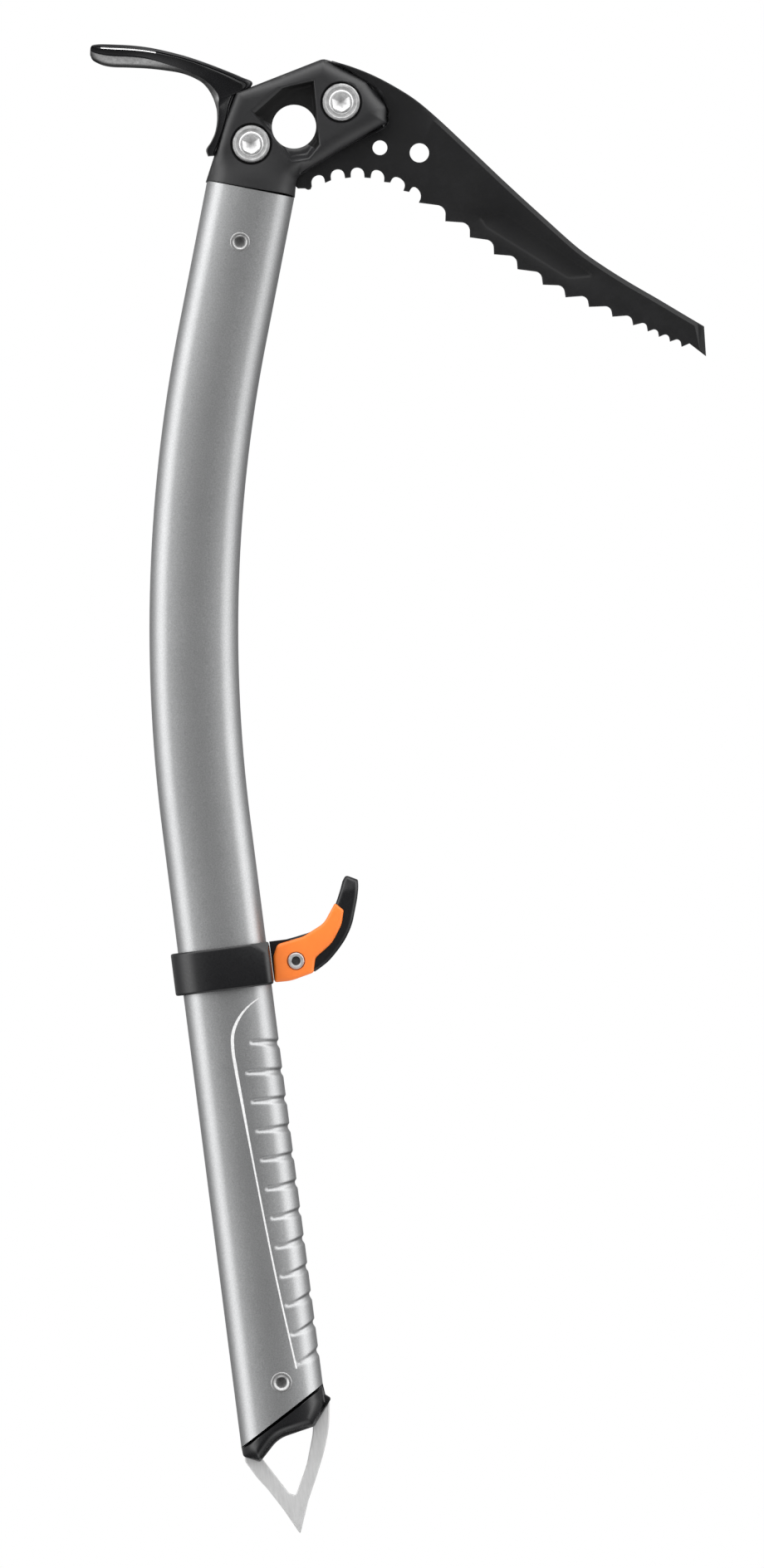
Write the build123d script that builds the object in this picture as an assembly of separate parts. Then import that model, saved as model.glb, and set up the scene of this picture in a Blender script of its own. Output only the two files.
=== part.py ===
from build123d import *
import math
import os

# An ice axe. The origin is the centre of the carabiner hole in the head. +Z runs up along the
# straight lower shaft, +X points the way the pick points, and Y crosses the axe. Millimetres.

# Shaft: an oval tube, straight below, bent forward on one large arc, straight again at the head.
SHAFT_DEPTH = 33.5
SHAFT_WIDTH = 22.0
SHAFT_END_RADIUS = 10.0
SHAFT_WALL = 1.5
SHAFT_X = -66.2
BEND_START_Z = -256.6
BEND_RADIUS = 578.0
HEAD_LEAN = 18.3
UPPER_LENGTH = 56.56
FOOT_REAR = (-82.95, -491.2)
FOOT_FRONT = (-49.45, -471.4)
FOOT_SPARE = 5.0

# Grip grooves across the front of the lower shaft.
GROOVE_COUNT = 12
GROOVE_TOP_Z = -340.0
GROOVE_PITCH = 11.05
GROOVE_HEIGHT = 3.0
GROOVE_DEPTH = 0.9
GROOVE_FIRST_X = -60.0
GROOVE_SECOND_X = -62.9
GROOVE_DRIFT = 0.45

# Rivets: one holds the head's tang, one holds the spike's tang.
HEAD_RIVET = (-25.7, -40.7)
HEAD_RIVET_RADIUS = 3.75
SPIKE_RIVET = (-64.8, -468.8)
SPIKE_RIVET_RADIUS = 4.0
RIVET_PROUD = 0.1
DIMPLE_DEPTH = 1.3

# Head: a clevis that takes the pick from the front and the adze from behind.
HEAD_HALF = 10.5
HEAD_EDGE = 1.2
HEAD_TANG = 32.0
COLLAR_HEIGHT = 9.0
COLLAR_PROUD = 0.4
POCKET_FLOOR = 6.5
HOLE_RADIUS = 8.35
PLATE_HALF = 2.0
FRONT_BOLT = (18.8, 6.7)
REAR_BOLT = (-16.8, -4.6)

# Bolts and nuts, the heads on the near side (-Y), the nuts on the far side (+Y).
BOLT_HEAD_RADIUS = 7.0
BOLT_SEAT = 6.5
BOLT_HEAD_TOP = 11.0
BOLT_SHANK = 4.0
BOLT_END = 9.5
COUNTERBORE_RADIUS = 7.6
SOCKET_FLATS = 6.0
SOCKET_DEPTH = 3.0
NUT_FLATS = 13.0
NUT_SEAT = 5.0
NUT_TOP = 10.0
NUT_PLAY = 0.2

# Adze blade, across the axe.
ADZE_HALF = 23.0
ADZE_SKIN = 3.2
ADZE_RIM = 3.5
ADZE_RIB_HALF = 4.0
STEM_HALF = 8.5

# Hand rest: a collar with a tongue, and a lever that turns on a pin in the tongue.
REST_TOP = -303.5
REST_BOTTOM = -319.5
REST_OUTER = 2.85
REST_INNER = 1.2
HOUSING_FRONT_X = -48.6
HOUSING_CORNER = 3.0
REST_GAP = 0.35
PIVOT = (-39.2, -312.0)
TONGUE_HALF = 2.7
TONGUE_RADIUS = 7.2
CHEEK_INNER = 3.0
CHEEK_OUTER = 6.6
CHEEK_SLOT = 7.3
CAM_SWEEP = 10.4
HORN_HALF = 5.8
HORN_INNER_RADIUS = 7.6
HORN_TOP_RADIUS = 9.7
SHOE_FACE_X = -48.45
SHOE_HALF = 7.0
SLEEVE_RADIUS = 2.4
SLEEVE_PLAY = 0.05
SCREW_RADIUS = 1.5
SCREW_HEAD_RADIUS = 3.1
SCREW_SEAT = 5.2
SCREW_TOP = 6.9
SCREW_DRIVE_RADIUS = 1.2
SCREW_DRIVE_DEPTH = 1.2
SCREW_SHORT = 0.5

# Pick: its spine, the edge its scallops are cut into, and the points of its teeth, in X and Z.
PICK_SPINE = [
    (17.4, 22.8), (32.2, 15.3), (53.3, -2.9), (76.5, -31.1), (100.9, -59.5), (117.9, -74.3),
    (143.7, -94.3),
]
SCALLOP_EDGE = [
    (-1.5, -23.3), (2.2, -24.4), (9.8, -22.2), (17.5, -21.9), (25.2, -23.0), (32.4, -25.9),
    (43.0, -34.4),
]
SCALLOP_TOPS = [
    (6.4, -19.4), (13.9, -18.1), (21.6, -18.4), (29.3, -20.4), (36.6, -24.1), (42.8, -29.0),
]
SCALLOP_HEADING = [-78, -90, -97, -106, -118, -128]
SCALLOP_RADIUS = 1.9
SCALLOP_MOUTH = 7.4
SCALLOP_LENGTH = 9.0
LARGE_TEETH = [
    (43.0, -34.4), (52.0, -42.6), (60.4, -49.8), (68.6, -57.3), (76.7, -64.0),
    (85.4, -71.0), (93.3, -76.8), (101.6, -81.5), (109.9, -86.3), (117.2, -90.5),
]
SMALL_TEETH = [(122.4, -93.5), (126.3, -96.1), (130.2, -98.4), (134.3, -100.9)]
# Each tooth is cut by a step above its point: its height and how far it leans over the point.
FIRST_TOOTH_STEP = 5.6
LAST_TOOTH_STEP = 3.4
FIRST_TOOTH_LEAN = 0.9
LAST_TOOTH_LEAN = -0.15
TOOTH_FADE = 0.22
LARGE_TOOTH_ROUNDING = 0.55
SMALL_TOOTH_ROUNDING = 0.42
PICK_TIP = [(137.4, -100.0), (142.9, -105.8)]
PICK_TAIL = [(-10.5, -17.0), (-10.5, 14.0), (-8.0, 15.6), (14.0, 21.0)]
PICK_HOLES = [((31.1, -12.0), 2.8), ((45.6, -15.8), 3.65)]
FULLER_DEPTH = 0.4

# Adze: the top of the blade, the lower edge of its rims, and the outline of rib and stem.
ADZE_TOP = [(-71.9, 40.1), (-53.2, 37.1), (-34.2, 30.0), (-13.8, 18.6)]
ADZE_RIM_LINE = [(-72.6, 37.3), (-58.1, 33.6), (-43.1, 29.7), (-32.7, 24.8)]
ADZE_LOWER = [
    (-72.6, 36.4), (-67.2, 31.9), (-45.6, 27.5), (-31.1, 20.0), (-28.4, 6.4), (-34.1, -5.0),
]
STEM_FRONT = [(-31.2, -7.1), (-24.7, 5.9), (-19.6, 15.6), (-13.8, 17.0)]
STEM_BOX = ((-20, 0, 0), (34, 40, 80))
ADZE_TANG = [(-22, 14.0), (-10.5, 14.0), (-10.5, -12), (-28, -9), (-30, -6)]
ADZE_PLAN = [(-80, ADZE_HALF), (-60, 22), (-42, 14), (-30, 10.5), (-10, STEM_HALF)]

# Foot: the steel spike and the plastic plug, in X and Z.
PLUG_INSERT = 24.0
PLUG_BOTTOM = -510.0
SPIKE_TIP = (-65.05, -526.6)
SPIKE_FRONT = [(-60.5, -514.4), (-56.4, -506.2), (-52.1, -496.7), (-49.1, -487.8), (-47.8, -478.8)]
SPIKE_TANG = [
    (-50.5, -475.5), (-57.0, -473.0), (-57.0, -461.0), (-75.0, -461.0), (-75.0, -485.0),
    (-80.0, -490.5),
]
SPIKE_REAR = [(-82.3, -496.6), (-78.6, -503.3), (-75.0, -508.3)]
WINDOW_CORNERS = [
    (-77.0, -494.2, 1), (-65.6, -513.2, 1), (-56.5, -493.0, 6), (-54.6, -485.0, 1), (-66.0, -487.0, 1),
]
PLUG_CORNERS = [
    (-82.6, -494.8, 1.4), (-76.6, -497.7, 0.9), (-68.6, -489.8, 12), (-54.6, -486.9, 1.2),
    (-46.9, -477.2, 0.9), (-49.0, -475.5, 0.4),
]
PLUG_NIB = [(-53, -477), (-49.6, -473.6), (-48.9, -475.6), (-47.3, -477.1), (-50.5, -482)]
PLUG_NIB_HALF = 5.0

# Outlines of the hand rest's lever, in X and Z.
CHEEK_CORNERS = [
    (-48.2, -319.0, 0.8), (-47.5, -309.2, 5), (-45.4, -304.9, 2.5), (-35.5, -303.3, 12),
    (-27.0, -299.3, 8), (-21.9, -292.2, 0.5), (-18.9, -295.3, 1.0), (-20.4, -300.6, 10),
    (-24.8, -307.0, 12), (-31.8, -311.8, 2.5), (-33.2, -317.2, 1.2), (-42.0, -319.2, 15),
]
HORN_OUTER = [
    (-32.6, -316.9), (-26.6, -313.3), (-21.1, -307.9), (-16.3, -300.4), (-13.4, -291.8),
    (-12.2, -285.5),
]
HORN_TIP = [(-12.6, -284.4), (-16.1, -282.9), (-17.4, -283.4)]
HORN_INNER = [(-18.2, -284.7), (-21.8, -292.7), (-26.6, -298.8), (-31.6, -301.7), (-36.4, -302.8)]
HORN_BACK = (-36.4, -312.0)
# The lever's swing as the tongue sees it: a boss, and a wider sector above it.
SWING_TILT = 48


def polygon(*points):
    return make_face(Polyline(*points, close=True))


def rounded(*corners):
    """A closed face from corners given as (x, z, radius)."""
    points = [(x, z) for x, z, _ in corners]
    radii = [radius for _, _, radius in corners]
    return make_face(FilletPolyline(*points, radius=radii, close=True))


def slab(face, near, far):
    """Extrude a face drawn in X and Z from Y = near to Y = far."""
    return extrude(Plane.XZ.offset(-far) * face, far - near)


def both_sides(face, inner, outer):
    """The same face on both sides of the axe, between |Y| = inner and |Y| = outer."""
    return slab(face, inner, outer) + slab(face, -outer, -inner)


def disc(centre, radius):
    return Pos(*centre) * Circle(radius)


def oval(grow=0.0):
    """The shaft's section, two tight arcs joined by two flat ones, offset outward by grow."""
    half_depth = SHAFT_DEPTH / 2 + grow
    half_width = SHAFT_WIDTH / 2 + grow
    tight = SHAFT_END_RADIUS + grow
    centre = half_depth - tight
    flat = (centre**2 + half_width**2 - tight**2) / (2 * (half_width - tight))
    x = flat * centre / (flat - tight)
    y = half_width - flat + flat * (flat - half_width) / (flat - tight)
    top = ThreePointArc((-x, y), (0, half_width), (x, y))
    front = ThreePointArc((x, y), (half_depth, 0), (x, -y))
    bottom = ThreePointArc((x, -y), (0, -half_width), (-x, -y))
    rear = ThreePointArc((-x, -y), (-half_depth, 0), (-x, y))
    return make_face(top + front + bottom + rear)


def lower_prism(grow, bottom, top):
    """The shaft's section offset by grow, extruded straight along the lower shaft."""
    return extrude(Pos(SHAFT_X, 0, bottom) * oval(grow), top - bottom)


def bend_point(degrees):
    turn = math.radians(degrees)
    x = SHAFT_X + BEND_RADIUS * (1 - math.cos(turn))
    z = BEND_START_Z + BEND_RADIUS * math.sin(turn)
    return (x, 0, z)


def joint_point():
    """Where the shaft's axis meets the bottom of the head."""
    x, _, z = bend_point(HEAD_LEAN)
    lean = math.radians(HEAD_LEAN)
    return (x + UPPER_LENGTH * math.sin(lean), 0, z + UPPER_LENGTH * math.cos(lean))


def head_plane():
    """A plane across the shaft's axis at the bottom of the head, its normal up into the head."""
    lean = math.radians(HEAD_LEAN)
    across = (math.cos(lean), 0, -math.sin(lean))
    along = (math.sin(lean), 0, math.cos(lean))
    return Plane(origin=joint_point(), x_dir=across, z_dir=along)


def shaft_path():
    foot = (SHAFT_X, 0, FOOT_REAR[1] - FOOT_SPARE)
    start = bend_point(0)
    end = bend_point(HEAD_LEAN)
    arc = ThreePointArc(start, bend_point(HEAD_LEAN / 2), end)
    return Line(foot, start) + arc + Line(end, joint_point())


def shaft_bar(grow):
    section = Pos(SHAFT_X, 0, FOOT_REAR[1] - FOOT_SPARE) * oval(grow)
    return sweep(section, path=shaft_path())


def below_foot():
    """Everything below the oblique end of the shaft."""
    (x0, z0), (x1, z1) = FOOT_REAR, FOOT_FRONT
    slope = (z1 - z0) / (x1 - x0)
    reach = 10
    left = (x0 - reach, z0 - reach * slope)
    right = (x1 + reach, z1 + reach * slope)
    face = polygon(left, right, (right[0], z0 - 60), (left[0], z0 - 60))
    return slab(face, -SHAFT_WIDTH, SHAFT_WIDTH)


def rivet_cylinder(centre, radius):
    return slab(disc(centre, radius), -SHAFT_WIDTH, SHAFT_WIDTH)


def groove(index):
    z = GROOVE_TOP_Z - index * GROOVE_PITCH
    inner_end = GROOVE_FIRST_X
    if index > 0:
        inner_end = GROOVE_SECOND_X + GROOVE_DRIFT * (index - 1)
    low, high = z - GROOVE_HEIGHT / 2, z + GROOVE_HEIGHT / 2
    ring = lower_prism(1, low, high) - lower_prism(-GROOVE_DEPTH, low, high)
    reach = polygon((inner_end, low), (-40, low), (-40, high), (inner_end, high))
    return ring & slab(reach, -SHAFT_WIDTH, SHAFT_WIDTH)


def make_shaft():
    shaft = shaft_bar(0) - shaft_bar(-SHAFT_WALL) - below_foot()
    shaft -= rivet_cylinder(HEAD_RIVET, HEAD_RIVET_RADIUS)
    shaft -= rivet_cylinder(SPIKE_RIVET, SPIKE_RIVET_RADIUS)
    for index in range(GROOVE_COUNT):
        shaft -= groove(index)
    return shaft


def make_rivet(centre, radius):
    """A through rivet with a conical dimple in each end."""
    half = SHAFT_WIDTH / 2 + RIVET_PROUD
    rivet = slab(disc(centre, radius), -half, half)
    dimple = Cone(radius * 0.15, radius * 0.7, DIMPLE_DEPTH)
    for side in (-1, 1):
        middle = Vector(centre[0], side * (half - DIMPLE_DEPTH / 2), centre[1])
        rivet -= Plane(origin=middle, z_dir=(0, side, 0)) * dimple
    return rivet


def head_outline():
    return rounded(
        (-35.0, -13.5, 0),
        (-31.0, -7.1, 3),
        (-24.7, 5.9, 15),
        (-19.9, 15.7, 1.5),
        (-13.9, 16.8, 3),
        (14.2, 23.9, 4),
        (21.8, 20.3, 6),
        (34.6, 9.0, 7),
        (37.2, -4.0, 6),
        (16.2, -11.2, 20),
        (-2.8, -20.8, 3),
        (-2.2, -23.4, 0),
    )


def pocket_outline():
    return rounded(
        (-15.8, 8.0, 1.2),
        (-3.5, 14.2, 4),
        (10.2, 16.8, 1.5),
        (8.4, -9.5, 3),
        (4.5, -12.6, 3),
        (-2.0, -12.6, 3),
        (-6.5, -9.0, 3),
    )


def make_head(pick, adze):
    """A forged block on an oval collar, with a tang down into the shaft."""
    head = slab(head_outline(), HEAD_EDGE - HEAD_HALF, HEAD_HALF - HEAD_EDGE)
    head += slab(offset(head_outline(), -HEAD_EDGE), -HEAD_HALF, HEAD_HALF)
    foot = head_plane()
    head += extrude(foot * oval(COLLAR_PROUD), COLLAR_HEIGHT)
    head += extrude(foot * oval(-SHAFT_WALL), -HEAD_TANG)
    head -= both_sides(pocket_outline(), POCKET_FLOOR, 2 * HEAD_HALF)
    head -= slab(disc((0, 0), HOLE_RADIUS), -HEAD_HALF, HEAD_HALF)
    for centre in (FRONT_BOLT, REAR_BOLT):
        head -= slab(disc(centre, BOLT_SHANK), -HEAD_HALF, HEAD_HALF)
        head -= slab(disc(centre, COUNTERBORE_RADIUS), -2 * HEAD_HALF, -BOLT_SEAT)
        head -= slab(hexagon(centre, NUT_FLATS + NUT_PLAY), NUT_SEAT, 2 * HEAD_HALF)
    head -= rivet_cylinder(HEAD_RIVET, HEAD_RIVET_RADIUS)
    return head - pick - adze


def hexagon(centre, flats):
    return Pos(*centre) * RegularPolygon(flats / 2, 6, major_radius=False)


def make_bolt(centre):
    bolt = slab(disc(centre, BOLT_HEAD_RADIUS), -BOLT_HEAD_TOP, -BOLT_SEAT)
    bolt += slab(disc(centre, BOLT_SHANK), -BOLT_SEAT, BOLT_END)
    bolt -= slab(hexagon(centre, SOCKET_FLATS), -BOLT_HEAD_TOP, SOCKET_DEPTH - BOLT_HEAD_TOP)
    return bolt


def make_nut(centre):
    nut = slab(hexagon(centre, NUT_FLATS), NUT_SEAT, NUT_TOP)
    return nut - slab(disc(centre, BOLT_SHANK), NUT_SEAT, NUT_TOP)


def tooth_line():
    """The cutting edge as (x, z, radius) corners: a point, then a round inner corner, and so on."""
    teeth = LARGE_TEETH + SMALL_TEETH
    corners = [(*teeth[0], 0)]
    for index, (x, z) in enumerate(teeth[1:]):
        step = max(LAST_TOOTH_STEP, FIRST_TOOTH_STEP - TOOTH_FADE * index)
        lean = max(LAST_TOOTH_LEAN, FIRST_TOOTH_LEAN - TOOTH_FADE * index)
        rounding = LARGE_TOOTH_ROUNDING if index < len(LARGE_TEETH) - 1 else SMALL_TOOTH_ROUNDING
        corners.append((x + lean, z + step, rounding * step))
        corners.append((x, z, 0))
    return corners


def scallop(top, heading):
    """A round-topped notch that widens to its mouth along the heading, in degrees."""
    half = SCALLOP_MOUTH / 2
    root = SCALLOP_RADIUS
    wedge = polygon((0, root), (0, -root), (SCALLOP_LENGTH, -half), (SCALLOP_LENGTH, half))
    notch = wedge + Circle(SCALLOP_RADIUS)
    return Pos(*top) * Rot(0, 0, heading) * Pos(SCALLOP_RADIUS, 0) * notch


def pick_outline():
    corners = tooth_line()
    points = [(x, z) for x, z, _ in corners]
    radii = [radius for _, _, radius in corners[1:-1]]
    teeth = FilletPolyline(*points, radius=radii)
    spine = Spline(*PICK_SPINE)
    tip = Polyline(points[-1], *PICK_TIP, PICK_SPINE[-1])
    scallops = Spline(*SCALLOP_EDGE)
    tail = Polyline(SCALLOP_EDGE[0], *PICK_TAIL, PICK_SPINE[0])
    outline = make_face(spine + tip + teeth + scallops + tail)
    for top, heading in zip(SCALLOP_TOPS, SCALLOP_HEADING):
        outline -= scallop(top, heading)
    return outline


def fuller_outline():
    return rounded(
        (64.0, -42.4, 1),
        (66.5, -47.0, 2),
        (95.5, -71.0, 4),
        (105.5, -71.3, 1),
        (103.0, -68.0, 3),
        (74.5, -41.7, 5),
    )


def make_pick():
    pick = slab(pick_outline(), -PLATE_HALF, PLATE_HALF)
    pick -= slab(disc((0, 0), HOLE_RADIUS), -PLATE_HALF, PLATE_HALF)
    pick -= slab(disc(FRONT_BOLT, BOLT_SHANK), -PLATE_HALF, PLATE_HALF)
    for centre, radius in PICK_HOLES:
        pick -= slab(disc(centre, radius), -PLATE_HALF, PLATE_HALF)
    return pick - both_sides(fuller_outline(), PLATE_HALF - FULLER_DEPTH, PLATE_HALF)


def adze_plan(inset):
    """The blade from above, narrowed by inset on each side."""
    side = [(x, y - inset) for x, y in ADZE_PLAN]
    other = [(x, -y) for x, y in reversed(side)]
    ends = Line(side[-1], other[0]) + Line(other[-1], side[0])
    face = make_face(Spline(*side) + Spline(*other) + ends)
    return extrude(Pos(0, 0, -20) * face, 80)


def make_adze():
    skin_line = [(x, z - ADZE_SKIN) for x, z in ADZE_TOP]
    top = Spline(*ADZE_TOP)
    root = Line(ADZE_TOP[-1], ADZE_RIM_LINE[-1])
    rims = make_face(top + root + Spline(*ADZE_RIM_LINE) + Line(ADZE_RIM_LINE[0], ADZE_TOP[0]))
    blade = slab(rims, -ADZE_HALF, ADZE_HALF) & adze_plan(0)
    under = make_face(
        Spline(*skin_line) + Polyline(skin_line[-1], (-14, 0), (-80, 0), (-80, 40), skin_line[0])
    )
    blade -= slab(under, -ADZE_HALF, ADZE_HALF) & adze_plan(ADZE_RIM)
    whole = make_face(
        top
        + Line(ADZE_TOP[-1], STEM_FRONT[-1])
        + Polyline(*STEM_FRONT)
        + Line(STEM_FRONT[0], ADZE_LOWER[-1])
        + Spline(*ADZE_LOWER)
        + Line(ADZE_LOWER[0], ADZE_TOP[0])
    )
    rib = slab(whole, -ADZE_RIB_HALF, ADZE_RIB_HALF)
    place, size = STEM_BOX
    stem = slab(whole, -STEM_HALF, STEM_HALF) & Pos(*place) * Box(*size)
    tang = slab(polygon(*ADZE_TANG), -PLATE_HALF, PLATE_HALF)
    tang -= slab(disc((0, 0), HOLE_RADIUS), -PLATE_HALF, PLATE_HALF)
    tang -= slab(disc(REAR_BOLT, BOLT_SHANK), -PLATE_HALF, PLATE_HALF)
    return blade + rib + stem + tang


def make_spike():
    outer = polygon(SPIKE_TIP, *SPIKE_FRONT, *SPIKE_TANG, *SPIKE_REAR)
    window = rounded(*WINDOW_CORNERS)
    spike = slab(outer - window, -PLATE_HALF, PLATE_HALF)
    return spike - rivet_cylinder(SPIKE_RIVET, SPIKE_RIVET_RADIUS)


def make_end_plug(spike):
    lower = rounded((*FOOT_REAR, 0), *PLUG_CORNERS, (*FOOT_FRONT, 0))
    plug = slab(lower, -SHAFT_WIDTH, SHAFT_WIDTH) & lower_prism(0, PLUG_BOTTOM, FOOT_FRONT[1])
    nib = polygon(*PLUG_NIB)
    plug += slab(nib, -PLUG_NIB_HALF, PLUG_NIB_HALF)
    (x0, z0), (x1, z1) = FOOT_REAR, FOOT_FRONT
    insert = polygon((x0, z0), (x1, z1), (x1, z1 + PLUG_INSERT), (x0, z0 + PLUG_INSERT))
    insert_top = FOOT_FRONT[1] + PLUG_INSERT
    plug += slab(insert, -SHAFT_WIDTH, SHAFT_WIDTH) & lower_prism(-SHAFT_WALL, PLUG_BOTTOM, insert_top)
    plug -= rivet_cylinder(SPIKE_RIVET, SPIKE_RIVET_RADIUS)
    return plug - spike


def cheek_outline():
    return rounded(*CHEEK_CORNERS)


def horn_outline():
    outer = Spline(*HORN_OUTER)
    tip = Polyline(HORN_OUTER[-1], *HORN_TIP, HORN_INNER[0])
    inner = Spline(*HORN_INNER)
    back = Polyline(HORN_INNER[-1], HORN_BACK, HORN_OUTER[0])
    return make_face(outer + tip + inner + back)


def tongue_clearance():
    """What the tongue needs clear between the cheeks over the lever's whole travel."""
    boss = disc(PIVOT, HORN_INNER_RADIUS)
    half_turn = Pos(0, HORN_TOP_RADIUS) * Rectangle(4 * HORN_TOP_RADIUS, 2 * HORN_TOP_RADIUS)
    root = disc(PIVOT, HORN_TOP_RADIUS) & Pos(*PIVOT) * Rot(0, 0, SWING_TILT) * half_turn
    return slab(boss + root, -CHEEK_INNER, CHEEK_INNER)


def make_horn(cheeks):
    horn = slab(horn_outline(), -HORN_HALF, HORN_HALF) - slab(cheek_outline(), CHEEK_INNER, CHEEK_OUTER)
    horn -= slab(cheek_outline(), -CHEEK_OUTER, -CHEEK_INNER)
    horn -= tongue_clearance()
    return horn - cheeks


def make_cheek(side):
    inner, outer = sorted((side * CHEEK_INNER, side * CHEEK_OUTER))
    cheek = slab(cheek_outline(), inner, outer)
    cheek -= slab(disc(PIVOT, SLEEVE_RADIUS), -CHEEK_OUTER, CHEEK_OUTER)
    near, far = sorted((side * SCREW_SEAT, side * 2 * CHEEK_OUTER))
    return cheek - slab(disc(PIVOT, SCREW_HEAD_RADIUS), near, far)


def housing():
    """The collar's outer shape: the shaft's oval, squared off at the front."""
    half = SHAFT_WIDTH / 2 + REST_OUTER
    length = HOUSING_FRONT_X - SHAFT_X
    square = fillet(Rectangle(2 * length, 2 * half).vertices(), HOUSING_CORNER)
    front = Pos(SHAFT_X, 0) * square & Pos(SHAFT_X + length, 0) * Rectangle(2 * length, 2 * half)
    box = extrude(Pos(0, 0, REST_BOTTOM) * front, REST_TOP - REST_BOTTOM)
    return lower_prism(REST_OUTER, REST_BOTTOM, REST_TOP) + box


def make_band():
    """The collar, its tongue, and two slots that let the lever's cam ends reach the shoe."""
    band = housing() - lower_prism(REST_INNER, REST_BOTTOM, REST_TOP)
    root = polygon((-48, REST_TOP), (-40, REST_TOP), PIVOT, (-40, -318.5), (-48, -318.5))
    tongue = slab(root + disc(PIVOT, TONGUE_RADIUS), -TONGUE_HALF, TONGUE_HALF)
    band -= both_sides(disc(PIVOT, CAM_SWEEP), TONGUE_HALF, CHEEK_SLOT)
    band -= both_sides(cam_drop(), TONGUE_HALF, CHEEK_SLOT)
    band += tongue
    return band - slab(disc(PIVOT, SLEEVE_RADIUS + SLEEVE_PLAY), -TONGUE_HALF, TONGUE_HALF)


def cam_drop():
    """Where the cheeks' lower corners swing out of the collar, below the pivot."""
    x, z = PIVOT
    return polygon((x - CAM_SWEEP, z), (x, z), (x, REST_BOTTOM), (x - CAM_SWEEP, REST_BOTTOM))


def make_shoe(band):
    block = polygon((-56, -318.3), (SHOE_FACE_X, -318.3), (SHOE_FACE_X, -305.0), (-56, -305.0))
    shoe = slab(block, -SHOE_HALF, SHOE_HALF) & lower_prism(REST_OUTER, REST_BOTTOM, REST_TOP)
    return shoe - lower_prism(REST_GAP, REST_BOTTOM, REST_TOP) - band


def make_liner():
    ring = lower_prism(REST_INNER, REST_BOTTOM + 1, REST_TOP - 1)
    ring -= lower_prism(REST_GAP, REST_BOTTOM, REST_TOP)
    return ring & Pos(SHAFT_X - 12, 0, PIVOT[1]) * Box(44, 60, 30)


def make_sleeve():
    sleeve = slab(disc(PIVOT, SLEEVE_RADIUS), -SCREW_SEAT, SCREW_SEAT)
    sleeve += slab(disc(PIVOT, SCREW_HEAD_RADIUS), SCREW_SEAT, SCREW_TOP)
    return sleeve - slab(disc(PIVOT, SCREW_RADIUS), -SCREW_SEAT, SCREW_SEAT)


def make_screw():
    screw = slab(disc(PIVOT, SCREW_HEAD_RADIUS), -SCREW_TOP, -SCREW_SEAT)
    screw += slab(disc(PIVOT, SCREW_RADIUS), -SCREW_SEAT, SCREW_SEAT - SCREW_SHORT)
    return screw - slab(disc(PIVOT, SCREW_DRIVE_RADIUS), -SCREW_TOP, SCREW_DRIVE_DEPTH - SCREW_TOP)


def main():
    os.makedirs("parts", exist_ok=True)
    pick = make_pick()
    adze = make_adze()
    spike = make_spike()
    cheeks = [make_cheek(-1), make_cheek(1)]
    band = make_band()
    nodes = {
        "shaft": make_shaft(),
        "head": make_head(pick, adze),
        "pick": pick,
        "adze": adze,
        "front_bolt": make_bolt(FRONT_BOLT),
        "rear_bolt": make_bolt(REAR_BOLT),
        "front_nut": make_nut(FRONT_BOLT),
        "rear_nut": make_nut(REAR_BOLT),
        "head_rivet": make_rivet(HEAD_RIVET, HEAD_RIVET_RADIUS),
        "end_plug": make_end_plug(spike),
        "spike": spike,
        "spike_rivet": make_rivet(SPIKE_RIVET, SPIKE_RIVET_RADIUS),
        "rest_band": band,
        "rest_liner": make_liner(),
        "rest_shoe": make_shoe(band),
        "rest_cheek_near": cheeks[0],
        "rest_cheek_far": cheeks[1],
        "rest_horn": make_horn(cheeks[0] + cheeks[1]),
        "rest_pivot_screw": make_screw(),
        "rest_pivot_sleeve": make_sleeve(),
    }
    for name, shape in nodes.items():
        export_step(shape, f"parts/{name}.step")


main()
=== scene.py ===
import math

import bmesh
import bpy
import numpy as np
from mathutils import Matrix, Vector
from mathutils.geometry import delaunay_2d_cdt


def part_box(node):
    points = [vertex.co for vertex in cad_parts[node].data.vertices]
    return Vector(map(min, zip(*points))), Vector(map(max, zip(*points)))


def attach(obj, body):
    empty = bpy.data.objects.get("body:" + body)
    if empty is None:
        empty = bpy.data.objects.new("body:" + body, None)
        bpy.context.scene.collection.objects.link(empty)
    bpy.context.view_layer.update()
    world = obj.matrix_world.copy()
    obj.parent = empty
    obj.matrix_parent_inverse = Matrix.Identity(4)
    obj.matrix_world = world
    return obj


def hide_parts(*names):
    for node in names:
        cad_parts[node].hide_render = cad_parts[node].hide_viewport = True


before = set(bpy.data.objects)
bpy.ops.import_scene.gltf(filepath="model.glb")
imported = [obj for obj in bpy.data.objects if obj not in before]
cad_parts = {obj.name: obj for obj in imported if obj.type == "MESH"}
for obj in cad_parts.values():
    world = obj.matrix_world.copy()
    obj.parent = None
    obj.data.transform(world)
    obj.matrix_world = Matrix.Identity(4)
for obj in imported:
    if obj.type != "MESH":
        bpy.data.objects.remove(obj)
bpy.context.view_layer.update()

# An ice axe, in the frame of the CAD model: the origin is the centre of the carabiner hole,
# +Z runs up the straight lower shaft, +X is the way the pick points, and Y crosses the axe.
# Shapes are worked out in millimetres and scaled to metres when their meshes are made.
MM = 0.001
XZ = [0, 2]


def middle(node):
    """The centre of a CAD node's box, in millimetres."""
    low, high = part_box(node)
    return np.array([(a + b) / 2 / MM for a, b in zip(low, high)])


def low_of(node):
    return np.array(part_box(node)[0]) / MM


def high_of(node):
    return np.array(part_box(node)[1]) / MM


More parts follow.
